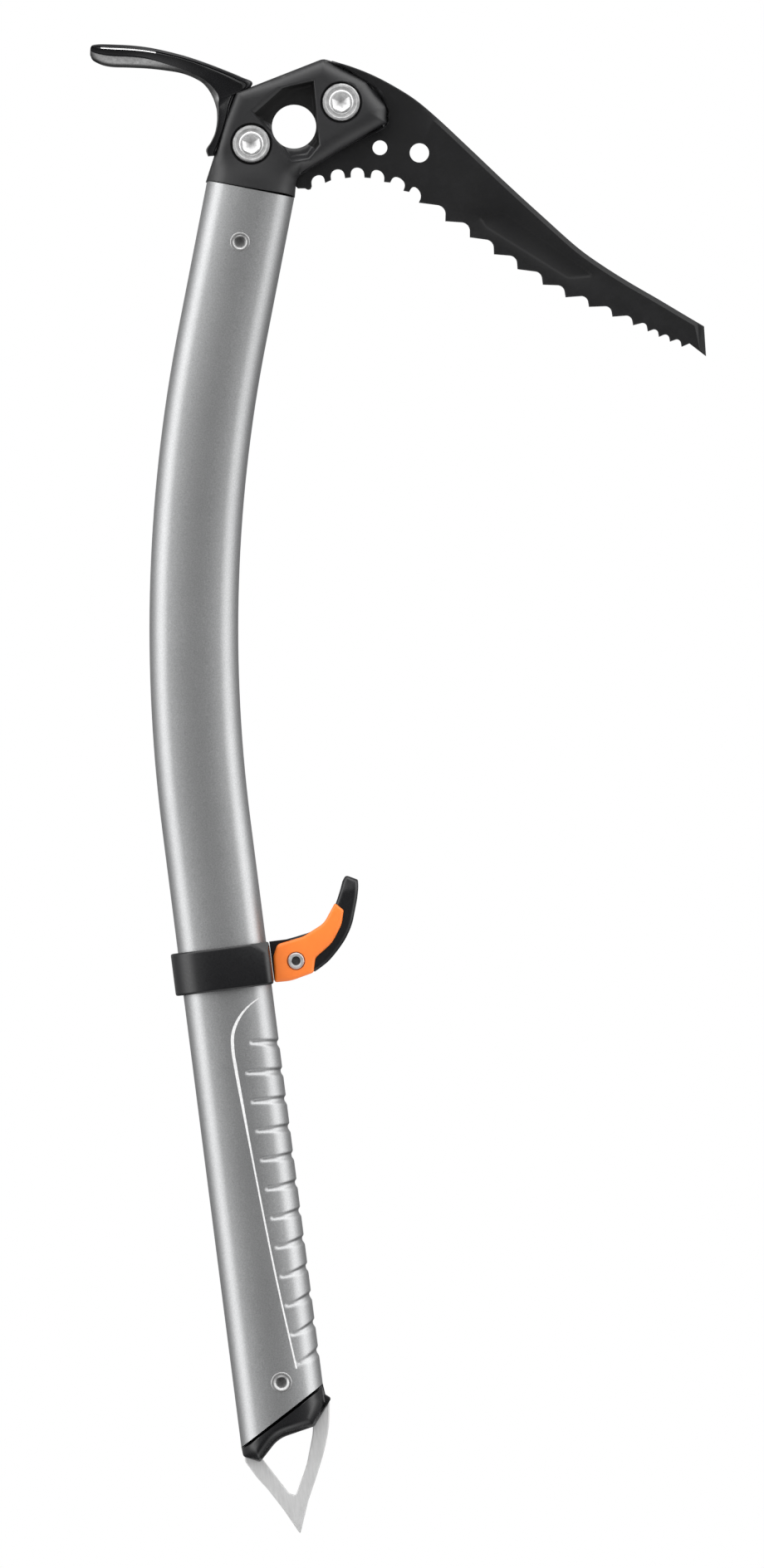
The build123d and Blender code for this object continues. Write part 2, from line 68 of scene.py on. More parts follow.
# The shaft's section and centre line, the same as in the CAD model.
SHAFT_DEPTH = 33.5
SHAFT_WIDTH = high_of("shaft")[1] - low_of("shaft")[1]
SHAFT_END_RADIUS = 10.0
SHAFT_WALL = 1.5
BAND_OUTER, BAND_INNER = 2.85, 1.2
SHAFT_X = low_of("rest_band")[0] + BAND_OUTER + SHAFT_DEPTH / 2
BEND_START_Z = -256.6
BEND_RADIUS = 578.0
HEAD_LEAN = math.radians(18.3)
UPPER_LENGTH = 56.56
FOOT_REAR = (-82.95, -491.2)
FOOT_FRONT = (-49.45, -471.4)

FRONT_BOLT = middle("front_bolt")
REAR_BOLT = middle("rear_bolt")
HEAD_RIVET = middle("head_rivet")
SPIKE_RIVET = middle("spike_rivet")
PIVOT = middle("rest_pivot_screw")
HOLE_RADIUS = 8.35
HEAD_RIVET_RADIUS = 3.75
SPIKE_RIVET_RADIUS = 4.0


# ---------------------------------------------------------------- curves and fields

def smoothstep(low, high, value):
    t = np.clip((value - low) / (high - low), 0, 1)
    return t * t * (3 - 2 * t)


def circle(centre, radius, count=64):
    turn = np.linspace(0, 2 * math.pi, count, endpoint=False)
    return np.stack([centre[0] + radius * np.cos(turn), centre[1] + radius * np.sin(turn)], axis=1)


def spline(points, step):
    """An open smooth curve through the points, sampled about every step."""
    points = np.asarray(points, float)
    first, last = 2 * points[0] - points[1], 2 * points[-1] - points[-2]
    path = np.concatenate([[first], points, [last]])
    out = []
    for p0, p1, p2, p3 in zip(path, path[1:], path[2:], path[3:]):
        knots = [max(np.linalg.norm(b - a), 1e-6) ** 0.5 for a, b in ((p0, p1), (p1, p2), (p2, p3))]
        tangent1 = (p1 - p0) / knots[0] - (p2 - p0) / (knots[0] + knots[1]) + (p2 - p1) / knots[1]
        tangent2 = (p2 - p1) / knots[1] - (p3 - p1) / (knots[1] + knots[2]) + (p3 - p2) / knots[2]
        tangent1, tangent2 = tangent1 * knots[1], tangent2 * knots[1]
        count = max(1, round(np.linalg.norm(p2 - p1) / step))
        t = (np.arange(count) / count)[:, None]
        out.append(
            (2 * t**3 - 3 * t**2 + 1) * p1
            + (t**3 - 2 * t**2 + t) * tangent1
            + (3 * t**2 - 2 * t**3) * p2
            + (t**3 - t**2) * tangent2
        )
    return np.concatenate([*out, points[-1:]])


def rounded(corners, step=0.8):
    """A closed outline from corners given as (x, z, radius)."""
    points = np.array([(x, z) for x, z, _ in corners], float)
    out = []
    for index, (_, _, radius) in enumerate(corners):
        corner = points[index]
        back = points[index - 1] - corner
        ahead = points[(index + 1) % len(points)] - corner
        back, ahead = back / np.linalg.norm(back), ahead / np.linalg.norm(ahead)
        half = math.acos(np.clip(back @ ahead, -1, 1)) / 2
        if radius == 0 or half > math.pi / 2 - 0.01:
            out.append(corner[None])
            continue
        reach = radius / math.tan(half)
        centre = corner + (back + ahead) / np.linalg.norm(back + ahead) * radius / math.sin(half)
        start, end = corner + back * reach - centre, corner + ahead * reach - centre
        turn = math.pi - 2 * half
        count = max(2, round(radius * turn / step))
        t = np.linspace(0, 1, count + 1)[:, None]
        arc = (np.sin((1 - t) * turn) * start + np.sin(t * turn) * end) / math.sin(turn)
        out.append(centre + arc)
    return np.concatenate(out)


def with_y(xz, y):
    """Points in X and Z, given a Y."""
    return np.stack([xz[:, 0], np.broadcast_to(y, len(xz)), xz[:, 1]], axis=1)


def normals_of(path):
    """Unit normals to the left of an open path."""
    run = np.gradient(path, axis=0)
    return np.stack([-run[:, 1], run[:, 0]], axis=1) / np.linalg.norm(run, axis=1, keepdims=True)


def segments(line, closed):
    line = np.asarray(line, float)
    ends = np.roll(line, -1, axis=0) if closed else line[1:]
    starts = line if closed else line[:-1]
    return starts, ends


def distance_to(points, line, closed=True):
    """How far each point is from a line of straight segments."""
    starts, ends = segments(line, closed)
    best = np.full(len(points), np.inf)
    for a, b in zip(starts, ends):
        run = b - a
        t = np.clip(((points - a) @ run) / max(run @ run, 1e-12), 0, 1)
        best = np.minimum(best, np.linalg.norm(points - (a + t[:, None] * run), axis=1))
    return best


def nearness(points, line, width, closed=True):
    """1 on the line, falling evenly to 0 at a width from it."""
    return np.clip(1 - distance_to(points, line, closed) / width, 0, 1)


def quarter_circle(away):
    """Rises from 0 at 0 to 1 at 1, steeply at first, as a rounded edge does."""
    return np.sqrt(np.clip(1 - (1 - np.clip(away, 0, 1)) ** 2, 0, 1))


def inside(points, polygon):
    starts, ends = segments(polygon, True)
    hits = np.zeros(len(points), bool)
    x, z = points[:, 0], points[:, 1]
    for (ax, az), (bx, bz) in zip(starts, ends):
        if az == bz:
            continue
        crosses = ((az > z) != (bz > z)) & (x < (bx - ax) * (z - az) / (bz - az) + ax)
        hits ^= crosses
    return hits


def depth_in(points, polygon):
    """Distance to the outline, positive inside it and negative outside."""
    return np.where(inside(points, polygon), 1, -1) * distance_to(points, polygon)


def counterclockwise(polygon):
    x, z = polygon[:, 0], polygon[:, 1]
    area = np.sum(x * np.roll(z, -1) - np.roll(x, -1) * z)
    return polygon if area > 0 else polygon[::-1]


def inset(polygon, distance):
    """The outline moved inward, by one distance or by one for each of its points."""
    polygon = counterclockwise(polygon)
    run_in = polygon - np.roll(polygon, 1, axis=0)
    run_out = np.roll(polygon, -1, axis=0) - polygon
    normals = []
    for run in (run_in, run_out):
        length = np.maximum(np.linalg.norm(run, axis=1, keepdims=True), 1e-9)
        normals.append(np.stack([-run[:, 1], run[:, 0]], axis=1) / length)
    total = normals[0] + normals[1]
    share = np.maximum(1 + np.sum(normals[0] * normals[1], axis=1, keepdims=True), 0.35)
    return polygon + total / share * np.reshape(distance, (-1, 1) if np.ndim(distance) else (1, 1))


# ---------------------------------------------------------------- mesh builders

def loft(loops, closed=False):
    """Quads between loops of equal length. Open lofts get a flat cap at each end."""
    count = len(loops[0])
    verts = np.concatenate([np.asarray(loop, float) for loop in loops])
    faces = []
    pairs = len(loops) if closed else len(loops) - 1
    for i in range(pairs):
        base, above = i * count, ((i + 1) % len(loops)) * count
        for k in range(count):
            after = (k + 1) % count
            faces.append((base + k, base + after, above + after, above + k))
    if not closed:
        faces.append(tuple(range(count))[::-1])
        faces.append(tuple(range((len(loops) - 1) * count, len(loops) * count)))
    return verts, faces


def hex_shape(turn):
    """Radius of a hexagon whose flats are one apart from the centre, by angle."""
    return 1 / np.cos((turn + math.pi / 6) % (math.pi / 3) - math.pi / 6)


def lathe(centre, profile, count=96, hexagonal=(), closed=False):
    """A piece turned about an axis along Y, from (radius, y) pairs. Some may be hexagonal."""
    turn = np.linspace(0, 2 * math.pi, count, endpoint=False)
    loops = []
    for index, (radius, y) in enumerate(profile):
        shape = hex_shape(turn) if index in hexagonal else 1.0
        loops.append(with_y(circle(centre[XZ], radius * shape, count), y))
    return loft(loops, closed)


def face_centres(shell):
    verts, faces = shell
    return np.array([verts[list(face)].mean(axis=0) for face in faces])


def faces_by_axis(shell, centre, radius):
    """Faces of a turned piece within a radius of its axis, such as the floor of a dimple."""
    return np.flatnonzero(np.linalg.norm((face_centres(shell) - centre)[:, XZ], axis=1) < radius)


def relief(outline, height, holes=(), lines=(), spacing=None):
    """A plate seen along Y whose two faces stand at -Y and +Y by height(points)."""
    outline = counterclockwise(np.asarray(outline, float))
    rings = [(outline, True)] + [(np.asarray(h, float), True) for h in holes]
    rings += [(np.asarray(line, float), closed) for line, closed in lines]
    coords, edges = [], []
    for ring, closed in rings:
        base, count = len(coords), len(ring)
        coords += [tuple(p) for p in ring]
        last = count if closed else count - 1
        edges += [(base + k, base + (k + 1) % count) for k in range(last)]
    if spacing:
        coords += [tuple(p) for p in filler_points(outline, rings, spacing)]
    made = delaunay_2d_cdt([Vector(c) for c in coords], edges, [], 0, 1e-5)
    points = np.array([tuple(v) for v in made[0]])
    triangles = np.array([face for face in made[2] if len(face) == 3])
    centres = points[triangles].mean(axis=1)
    keep = inside(centres, outline)
    for hole in holes:
        keep &= ~inside(centres, np.asarray(hole, float))
    triangles = triangles[keep]
    a, b, c = (points[triangles[:, k]] for k in range(3))
    ab, ac = b - a, c - a
    flip = ab[:, 0] * ac[:, 1] - ab[:, 1] * ac[:, 0] < 0
    triangles[flip] = triangles[flip][:, ::-1]
    count = len(points)
    y = height(points)
    faces = [tuple(t) for t in triangles] + [tuple(count + t[::-1]) for t in triangles]
    border = {}
    for t in triangles:
        for k in range(3):
            edge = (int(t[k]), int(t[(k + 1) % 3]))
            if border.pop(edge[::-1], None) is None:
                border[edge] = True
    faces += [(b, a, a + count, b + count) for a, b in border]
    return np.concatenate([with_y(points, -y), with_y(points, y)]), faces


def filler_points(outline, rings, spacing):
    """A staggered grid inside the outline that keeps clear of every ring."""
    low, high = outline.min(axis=0), outline.max(axis=0)
    rows = np.arange(low[1], high[1], spacing * 0.866)
    columns = np.arange(low[0], high[0], spacing)
    shifts = [(row % 2) * spacing / 2 for row in range(len(rows))]
    grid = np.array([(x + shift, z) for shift, z in zip(shifts, rows) for x in columns])
    grid = grid[inside(grid, outline)]
    for ring, closed in rings:
        grid = grid[distance_to(grid, ring, closed) > spacing * 0.45]
    return grid


def merge(*parts):
    """Several (verts, faces) shells as one."""
    verts, faces, base = [], [], 0
    for part_verts, part_faces in parts:
        verts.append(np.asarray(part_verts, float))
        faces += [tuple(int(i) + base for i in face) for face in part_faces]
        base += len(part_verts)
    return np.concatenate(verts), faces


def prism(outline, near, far):
    """A plate of even thickness from an outline in X and Z, between two values of Y."""
    outline = counterclockwise(np.asarray(outline, float))
    return loft([np.insert(outline, 1, y, axis=1) for y in (near, far)])


def new_mesh(name, verts, faces):
    mesh = bpy.data.meshes.new(name)
    faces = [tuple(int(i) for i in face) for face in faces]
    mesh.from_pydata(np.asarray(verts).tolist(), [], faces)
    return mesh


def new_object(name, data):
    made = bpy.data.objects.new(name, data)
    bpy.context.scene.collection.objects.link(made)
    return made


def cutting_object(name, shell):
    """A shell in millimetres with its normals outward."""
    mesh = new_mesh(name, *shell)
    work = bmesh.new()
    work.from_mesh(mesh)
    bmesh.ops.recalc_face_normals(work, faces=work.faces)
    work.to_mesh(mesh)
    work.free()
    return new_object(name, mesh)


def carve(shell, cutters):
    """The shell with every cutter taken out of it."""
    block = cutting_object("block", shell)
    tools = [cutting_object("cutter", cutter) for cutter in cutters]
    for tool in tools:
        cut = block.modifiers.new("cut", "BOOLEAN")
        cut.operation, cut.solver, cut.object = "DIFFERENCE", "EXACT", tool
    result = block.evaluated_get(bpy.context.evaluated_depsgraph_get()).to_mesh()
    verts = np.array([tuple(v.co) for v in result.vertices])
    faces = [tuple(face.vertices) for face in result.polygons]
    for made in [block] + tools:
        bpy.data.objects.remove(made)
    return verts, faces


def add_piece(name, shell, body, material, nodes=(), crease=38, others=()):
    """Makes an object, shades it smooth up to the crease angle and joins it to a body.

    The others are pairs of a further material and the faces that wear it.
    """
    verts, faces = shell
    mesh = new_mesh(name, np.asarray(verts) * MM, faces)
    mesh.materials.append(material)
    for place, (other, chosen) in enumerate(others, 1):
        mesh.materials.append(other)
        for index in chosen:
            mesh.polygons[index].material_index = place
    work = bmesh.new()
    work.from_mesh(mesh)
    bmesh.ops.remove_doubles(work, verts=work.verts, dist=1e-7)
    loose = [v for v in work.verts if not v.link_faces]
    bmesh.ops.delete(work, geom=loose, context="VERTS")
    bmesh.ops.recalc_face_normals(work, faces=work.faces)
    for face in work.faces:
        face.smooth = True
    for edge in work.edges:
        edge.smooth = edge.calc_face_angle(0) < math.radians(crease)
    work.to_mesh(mesh)
    work.free()
    piece = new_object(name, mesh)
    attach(piece, body)
    if nodes:
        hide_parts(*nodes)


# ---------------------------------------------------------------- the shaft's own curves

def oval(grow=0.0, count=128):
    """The shaft's section as (depth, width) points, evenly spread by angle, and its normals."""
    half_depth = SHAFT_DEPTH / 2
    half_width = SHAFT_WIDTH / 2
    centre = half_depth - SHAFT_END_RADIUS
    flat = centre**2 + half_width**2 - SHAFT_END_RADIUS**2
    flat /= 2 * (half_width - SHAFT_END_RADIUS)
    change = math.atan2(flat - half_width, centre)
    # Normals are spread so that points fall about evenly along the section.
    tight_length = SHAFT_END_RADIUS * 2 * change
    flat_length = flat * (math.pi - 2 * change)
    lengths = [tight_length, flat_length, tight_length, flat_length]
    radii = [SHAFT_END_RADIUS, flat, SHAFT_END_RADIUS, flat]
    centres = [(centre, 0), (0, half_width - flat), (-centre, 0), (0, flat - half_width)]
    along = np.linspace(0, sum(lengths), count, endpoint=False)
    start, angle = 0.0, -change
    points, normals = np.zeros((count, 2)), np.zeros((count, 2))
    for length, radius, (cx, cy) in zip(lengths, radii, centres):
        pick = (along >= start) & (along < start + length)
        turn = angle + (along[pick] - start) / radius
        normal = np.stack([np.cos(turn), np.sin(turn)], axis=1)
        points[pick] = np.array([cx, cy]) + (radius + grow) * normal
        normals[pick] = normal
        start += length
        angle += length / radius
    return points, normals


def side_of_oval(across, side=1, grow=0.0, right=None):
    """Y of the shaft's section at a distance across from its axis, on one side."""
    section, _ = oval(grow, 720)
    half = section[section[:, 1] * side >= 0]
    order = np.argsort(half[:, 0])
    return np.interp(across, half[order, 0], half[order, 1], right=right)


def centre_line(length):
    """Point and direction on the shaft's axis, by length above the foot of the bend."""
    bend_length = BEND_RADIUS * HEAD_LEAN
    turn = min(max(length, 0), bend_length) / BEND_RADIUS
    x = SHAFT_X + BEND_RADIUS * (1 - math.cos(turn))
    z = BEND_START_Z + BEND_RADIUS * math.sin(turn) + min(length, 0)
    beyond = max(length - bend_length, 0)
    heading = (math.sin(turn), math.cos(turn))
    return np.array([x + beyond * heading[0], z + beyond * heading[1]]), np.array(heading)


TOP_LENGTH = BEND_RADIUS * HEAD_LEAN + UPPER_LENGTH
JOINT, HEAD_AXIS = centre_line(TOP_LENGTH)
HEAD_ACROSS = np.array([HEAD_AXIS[1], -HEAD_AXIS[0]])


def section_at(length, grow=0.0, count=128):
    """A loop of the shaft's section around its axis."""
    points, _ = oval(grow, count)
    centre, heading = centre_line(length)
    across = np.array([heading[1], -heading[0]])
    return with_y(centre + points[:, :1] * across, points[:, 1])


def foot_height(x):
    """Height of the shaft's oblique lower end at x."""
    slope = (FOOT_FRONT[1] - FOOT_REAR[1]) / (FOOT_FRONT[0] - FOOT_REAR[0])
    return FOOT_REAR[1] + slope * (x - FOOT_REAR[0])


# ---------------------------------------------------------------- materials

# Height of the surface grain in metres, and how much the worn edges show.
GRAIN_HEIGHT = 0.00003
EDGE_WEAR = 0.25


def material(name, color, metallic, roughness, **sockets):
    made = bpy.data.materials.new(name)
    made.use_nodes = True
    shader = made.node_tree.nodes["Principled BSDF"]
    shader.inputs["Base Color"].default_value = (*color, 1)
    shader.inputs["Metallic"].default_value = metallic
    shader.inputs["Roughness"].default_value = roughness
    for socket, value in sockets.items():
        shader.inputs[socket.replace("_", " ")].default_value = value
    return made, made.node_tree, shader


def node(tree, kind, **settings):
    made = tree.nodes.new(kind)
    for key, value in settings.items():
        if key in made.inputs:
            made.inputs[key].default_value = value
        else:
            setattr(made, key, value)
    return made


def noise(tree, scale, detail=3.0, rough=0.5, stretch=None):
    """Object-space noise with features about 1 / scale metres across."""
    coords = node(tree, "ShaderNodeTexCoord")
    made = node(tree, "ShaderNodeTexNoise", Scale=scale, Detail=detail, Roughness=rough)
    if stretch:
        mapping = node(tree, "ShaderNodeMapping")
        mapping.inputs["Scale"].default_value = stretch
        tree.links.new(coords.outputs["Object"], mapping.inputs["Vector"])
        tree.links.new(mapping.outputs["Vector"], made.inputs["Vector"])
    else:
        tree.links.new(coords.outputs["Object"], made.inputs["Vector"])
    return made.outputs["Fac"]


def ramp(tree, source, stops):
    """A colour or value ramp. Each stop is (position, grey) or (position, (r, g, b))."""
    made = node(tree, "ShaderNodeValToRGB")
    elements = made.color_ramp.elements
    while len(elements) < len(stops):
        elements.new(0.5)
    for element, (position, value) in zip(elements, stops):
        element.position = position
        element.color = (*value, 1) if isinstance(value, tuple) else (value, value, value, 1)
    tree.links.new(source, made.inputs["Fac"])
    return made.outputs["Color"]


def arithmetic(tree, operation, source, value=None):
    made = node(tree, "ShaderNodeMath", operation=operation)
    tree.links.new(source, made.inputs[0])
    if value is not None:
        made.inputs[1].default_value = value
    return made.outputs[0]


def dress(tree, shader, base, rough, grain, strength, height=GRAIN_HEIGHT):
    """Gives a shader its colour and roughness, and a bump from the grain."""
    tree.links.new(base, shader.inputs["Base Color"])
    tree.links.new(rough, shader.inputs["Roughness"])
    made = node(tree, "ShaderNodeBump", Strength=strength, Distance=height)
    tree.links.new(grain, made.inputs["Height"])
    tree.links.new(made.outputs["Normal"], shader.inputs["Normal"])


def mix_colors(tree, factor, first, second, blend="MIX"):
    made = node(tree, "ShaderNodeMix", data_type="RGBA", blend_type=blend)
    for socket, value in ((0, factor), (6, first), (7, second)):
        if isinstance(value, bpy.types.NodeSocket):
            tree.links.new(value, made.inputs[socket])
        elif isinstance(value, tuple):
            made.inputs[socket].default_value = (*value, 1)
        else:
            made.inputs[socket].default_value = value
    return made.outputs[2]


def worn_edges(tree):
    """White along convex edges, broken up by noise."""
    geometry = node(tree, "ShaderNodeNewGeometry")
    edge = ramp(tree, geometry.outputs["Pointiness"], [(0.52, 0.0), (0.62, 1.0)])
    patches = ramp(tree, noise(tree, 260, 4), [(0.45, 0.0), (0.62, 1.0)])
    return mix_colors(tree, 1.0, edge, patches, "MULTIPLY")


def blasted_aluminium():
    made, tree, shader = material("shaft_aluminium", (0.5, 0.505, 0.51), 1.0, 0.46)
    grain = noise(tree, 2200, 4, 0.6)
    tint = ramp(tree, grain, [
        (0.3, (0.36, 0.363, 0.367)), (0.5, (0.43, 0.434, 0.438)), (0.7, (0.51, 0.515, 0.52)),
    ])
    shade = ramp(tree, noise(tree, 45), [(0.3, 0.95), (0.7, 1.0)])
    rough = ramp(tree, grain, [(0.25, 0.43), (0.75, 0.49)])
    dress(tree, shader, mix_colors(tree, 1.0, tint, shade, "MULTIPLY"), rough, grain, 0.3)
    return made


def printed_white():
    made, tree, shader = material("print_white", (0.8, 0.8, 0.8), 0.0, 0.5)
    tint = ramp(tree, noise(tree, 900), [(0.3, 0.60), (0.7, 0.76)])
    tree.links.new(tint, shader.inputs["Base Color"])
    return made


def satin_black_metal(name, dark, light, roughness, specular=0.45):
    """Black-coated steel with a fine grain and a hint of wear on its edges."""
    made, tree, shader = material(name, dark, 0.0, roughness, Specular_IOR_Level=specular)
    grain = noise(tree, 1300, 4, 0.6)
    tint = ramp(tree, noise(tree, 60), [(0.3, dark), (0.7, light)])
    worn = arithmetic(tree, "MULTIPLY", worn_edges(tree), EDGE_WEAR)
    base = mix_colors(tree, worn, tint, tuple(5 * part for part in light))
    rough = ramp(tree, grain, [(0.25, roughness - 0.05), (0.75, roughness + 0.06)])
    dress(tree, shader, base, rough, grain, 0.4)
    return made


def bright_steel(name, low, high, roughness):
    made, tree, shader = material(name, (high,) * 3, 1.0, roughness)
    grain = noise(tree, 1400, 4, 0.6)
    tint = ramp(tree, grain, [(0.3, low), (0.7, high)])
    rough = ramp(tree, noise(tree, 500), [(0.3, roughness - 0.06), (0.7, roughness + 0.08)])
    dress(tree, shader, tint, rough, grain, 0.25)
    return made


def ground_steel():
    """Satin steel, ground along the spike, that scatters about as much as it mirrors."""
    made, tree, shader = material("spike_steel", (0.55, 0.55, 0.55), 0.45, 0.6)
    grain = noise(tree, 1400, 4, 0.6, stretch=(1.0, 1.0, 0.15))
    tint = ramp(tree, grain, [(0.3, 0.50), (0.7, 0.58)])
    rough = ramp(tree, noise(tree, 400), [(0.3, 0.56), (0.7, 0.66)])
    dress(tree, shader, tint, rough, grain, 0.2, height=0.00002)
    return made


def moulded_plastic(name, dark, light, roughness):
    made, tree, shader = material(name, light, 0.0, roughness, Specular_IOR_Level=0.5)
    grain = noise(tree, 1100, 3, 0.55)
    tint = ramp(tree, noise(tree, 90), [(0.3, dark), (0.7, light)])
    rough = ramp(tree, grain, [(0.3, roughness - 0.04), (0.7, roughness + 0.06)])
    dress(tree, shader, tint, rough, grain, 0.3)
    return made


ALUMINIUM = blasted_aluminium()
WHITE_PRINT = printed_white()
HEAD_BLACK = satin_black_metal(
    "head_black", (0.010, 0.010, 0.011), (0.014, 0.014, 0.015), 0.44, specular=0.6,
)
# Painted shade: a darker, duller black for the deep faces of the head's pocket, standing in for the
# shade inside it.
POCKET_SHADE_BLACK = satin_black_metal(
    "head_pocket_shade", (0.004, 0.004, 0.004), (0.006, 0.006, 0.006), 0.6, specular=0.25,
)
PICK_BLACK = satin_black_metal(
    "pick_steel", (0.003, 0.003, 0.0035), (0.005, 0.005, 0.0055), 0.50, specular=0.35,
)
ADZE_BLACK = satin_black_metal("adze_black", (0.005, 0.005, 0.006), (0.008, 0.008, 0.009), 0.24)
# Painted reflection: a lighter steel colour for the adze's rim, standing in for the light it
# reflects from below.
ADZE_RIM_REFLECTION = bright_steel("adze_rim_reflection", 0.20, 0.30, 0.38)
# Painted highlight: a near-white steel for a strip along the adze's side groove.
ADZE_PAINTED_HIGHLIGHT = bright_steel("adze_painted_highlight", 0.80, 0.92, 0.45)
BOLT_STEEL = bright_steel("bolt_steel", 0.66, 0.84, 0.42)
RIVET_STEEL = bright_steel("rivet_steel", 0.36, 0.48, 0.42)
# Painted shade: a dark steel for the floor of the rivets' dimples, standing in for the shade inside
# them.
DIMPLE_SHADE = bright_steel("rivet_dimple_shade", 0.10, 0.18, 0.45)
PIN_STEEL = bright_steel("pin_steel", 0.66, 0.82, 0.50)
# Painted shade: a dark steel for the inside of the pivot screw's socket, standing in for the shade
# in it.
SOCKET_SHADE = bright_steel("drive_socket_shade", 0.07, 0.13, 0.5)
SPIKE_STEEL = ground_steel()
PLUG_BLACK = moulded_plastic("plug_black", (0.004, 0.004, 0.005), (0.007, 0.007, 0.008), 0.24)
REST_BLACK = moulded_plastic("rest_black", (0.004, 0.004, 0.005), (0.006, 0.006, 0.007), 0.30)
REST_ORANGE = moulded_plastic("rest_orange", (0.80, 0.175, 0.020), (0.88, 0.21, 0.028), 0.40)
REST_RUBBER = moulded_plastic("rest_rubber", (0.012, 0.012, 0.012), (0.018, 0.018, 0.018), 0.75)


# ---------------------------------------------------------------- shaft

GROOVE_COUNT = 12
GROOVE_TOP_Z = -340.0
GROOVE_SIDE_PITCH = 11.1
GROOVE_FRONT_TOP_Z = -341.5
GROOVE_FRONT_PITCH = 10.61
GROOVE_DEPTH = 0.5
GROOVE_FRONT_DEPTH = 0.75
GROOVE_FIRST_END, GROOVE_SECOND_END, GROOVE_DRIFT = -60.0, -62.9, 0.45
# Spans, from a groove's centre, over which its sloping floor deepens and its top lip closes.
GROOVE_FLOOR, GROOVE_LIP = (-1.3, -0.3), (0.0, 0.6)
# How much wider the grooves get toward the front, how late they fan out, and their blunt ends.
GROOVE_SPREAD, GROOVE_FAN, GROOVE_FADE = 1.1, 1.6, 0.25
GRIP_LOW_Z, GRIP_HIGH_Z = -455.0, -332.0
# Where the bore's straight rows end, by length along the axis.
BORE_FOOT = -215.0


def groove_end(index):
    """How far the groove runs onto the side: the first is shorter, the rest drift forward."""
    return GROOVE_SECOND_END + GROOVE_DRIFT * (index - 1) if index else GROOVE_FIRST_END


def groove_depth(points):
    """Depth of the grip grooves at points on the shaft's skin: a sharp top lip, a sloping floor.

    They fan out: each starts level on the side and drops or climbs toward the front edge.
    """
    x, z = points[:, 0], points[:, 2]
    front = SHAFT_X + SHAFT_DEPTH / 2
    total = np.zeros(len(points))
    for index in range(GROOVE_COUNT):
        end = groove_end(index)
        share = np.clip((x - end) / (front - end), 0, 1)
        side_z = GROOVE_TOP_Z - index * GROOVE_SIDE_PITCH
        front_z = GROOVE_FRONT_TOP_Z - index * GROOVE_FRONT_PITCH
        above = z - (side_z + (front_z - side_z) * share**GROOVE_FAN)
        above = above / (1 + GROOVE_SPREAD * share)
        profile = smoothstep(*GROOVE_FLOOR, above) * (1 - smoothstep(*GROOVE_LIP, above))
        reach = smoothstep(end - GROOVE_FADE, end + GROOVE_FADE, x)
        deep = GROOVE_DEPTH + (GROOVE_FRONT_DEPTH - GROOVE_DEPTH) * share
        total = np.maximum(total, deep * profile * reach)
    return total


def make_shaft():
    count = 144
    _, normals = oval(0, count)
    rows = [(GRIP_LOW_Z - BEND_START_Z, share) for share in np.linspace(1, 0, 26, endpoint=False)]
    rows += [(z - BEND_START_Z, 0) for z in np.arange(GRIP_LOW_Z, GRIP_HIGH_Z, 0.45)]
    rows += [(z - BEND_START_Z, 0) for z in np.arange(GRIP_HIGH_Z, BEND_START_Z, 8.0)]
    rows += [(length, 0) for length in np.linspace(0, TOP_LENGTH, 40)]
    outer = []
    for length, share in rows:
        loop = section_at(length, 0, count)
        loop[:, 2] += share * (foot_height(loop[:, 0]) - loop[:, 2])
        outer.append(loop - groove_depth(loop)[:, None] * np.insert(normals, 2, 0, axis=1))
    depths = [*np.linspace(TOP_LENGTH, 0, 16), BORE_FOOT, BORE_FOOT]
    inner = [section_at(length, -SHAFT_WALL, count) for length in depths]
    # The last loop of the bore is drawn down to the oblique foot.
    inner[-1][:, 2] = foot_height(inner[-1][:, 0])
    rivets = [(HEAD_RIVET, HEAD_RIVET_RADIUS), (SPIKE_RIVET, SPIKE_RIVET_RADIUS)]
    holes = [prism(circle(at[XZ], radius), -SHAFT_WIDTH, SHAFT_WIDTH) for at, radius in rivets]
    shell = carve(loft(outer + inner, closed=True), holes)
    add_piece("shaft_tube", shell, "axe", ALUMINIUM, ["shaft"], 50)


ACCENT_LINE = [
    (-53.8, -323.6), (-58.8, -326.4), (-63.2, -330.6), (-66.2, -336.1), (-67.0, -342.3),
    (-66.8, -349.5), (-66.0, -364.4), (-65.0, -382.0), (-62.7, -417.1), (-61.1, -437.0),
    (-58.5, -464.3),
]


def make_accent_line():
    """The white line printed beside the grip, on both sides of the shaft."""
    path = spline(ACCENT_LINE, 1.0)
    share = np.linspace(0, 1, len(path))
    half = 0.2 + 0.38 * smoothstep(0, 0.13, share) - 0.26 * smoothstep(0.2, 0.5, share)
    shells = []
    for side in (-1, 1):
        corners = []
        for offset, lift in ((-1, 0.05), (1, 0.05), (1, -0.1), (-1, -0.1)):
            xz = path + offset * half[:, None] * normals_of(path)
            corners.append(with_y(xz, side_of_oval(xz[:, 0] - SHAFT_X, side, lift)))
        shells.append(loft(list(np.stack(corners, axis=1))))
    add_piece("accent_line", merge(*shells), "axe", WHITE_PRINT)


def make_rivet(name, centre, radius, node_name):
    """A flush rivet: a turned-over rim round a flat-bottomed dimple, on both faces."""
    half = SHAFT_WIDTH / 2
    face = [
        (radius, half - 1.0), (radius, half - 0.12), (radius - 0.18, half + 0.02),
        (radius - 0.9, half + 0.08), (radius - 1.35, half - 0.1), (2.1, half - 0.7),
        (1.7, half - 0.9), (0.3, half - 0.95),
    ]
    profile = [(r, -y) for r, y in reversed(face)] + face
    shell = lathe(centre, profile, 64)
    # Painted shade: the dimple's floor is coloured dark.
    dimple = [(DIMPLE_SHADE, faces_by_axis(shell, centre, 1.95))]
    add_piece(name, shell, "axe", RIVET_STEEL, [node_name], 60, dimple)


# ---------------------------------------------------------------- head

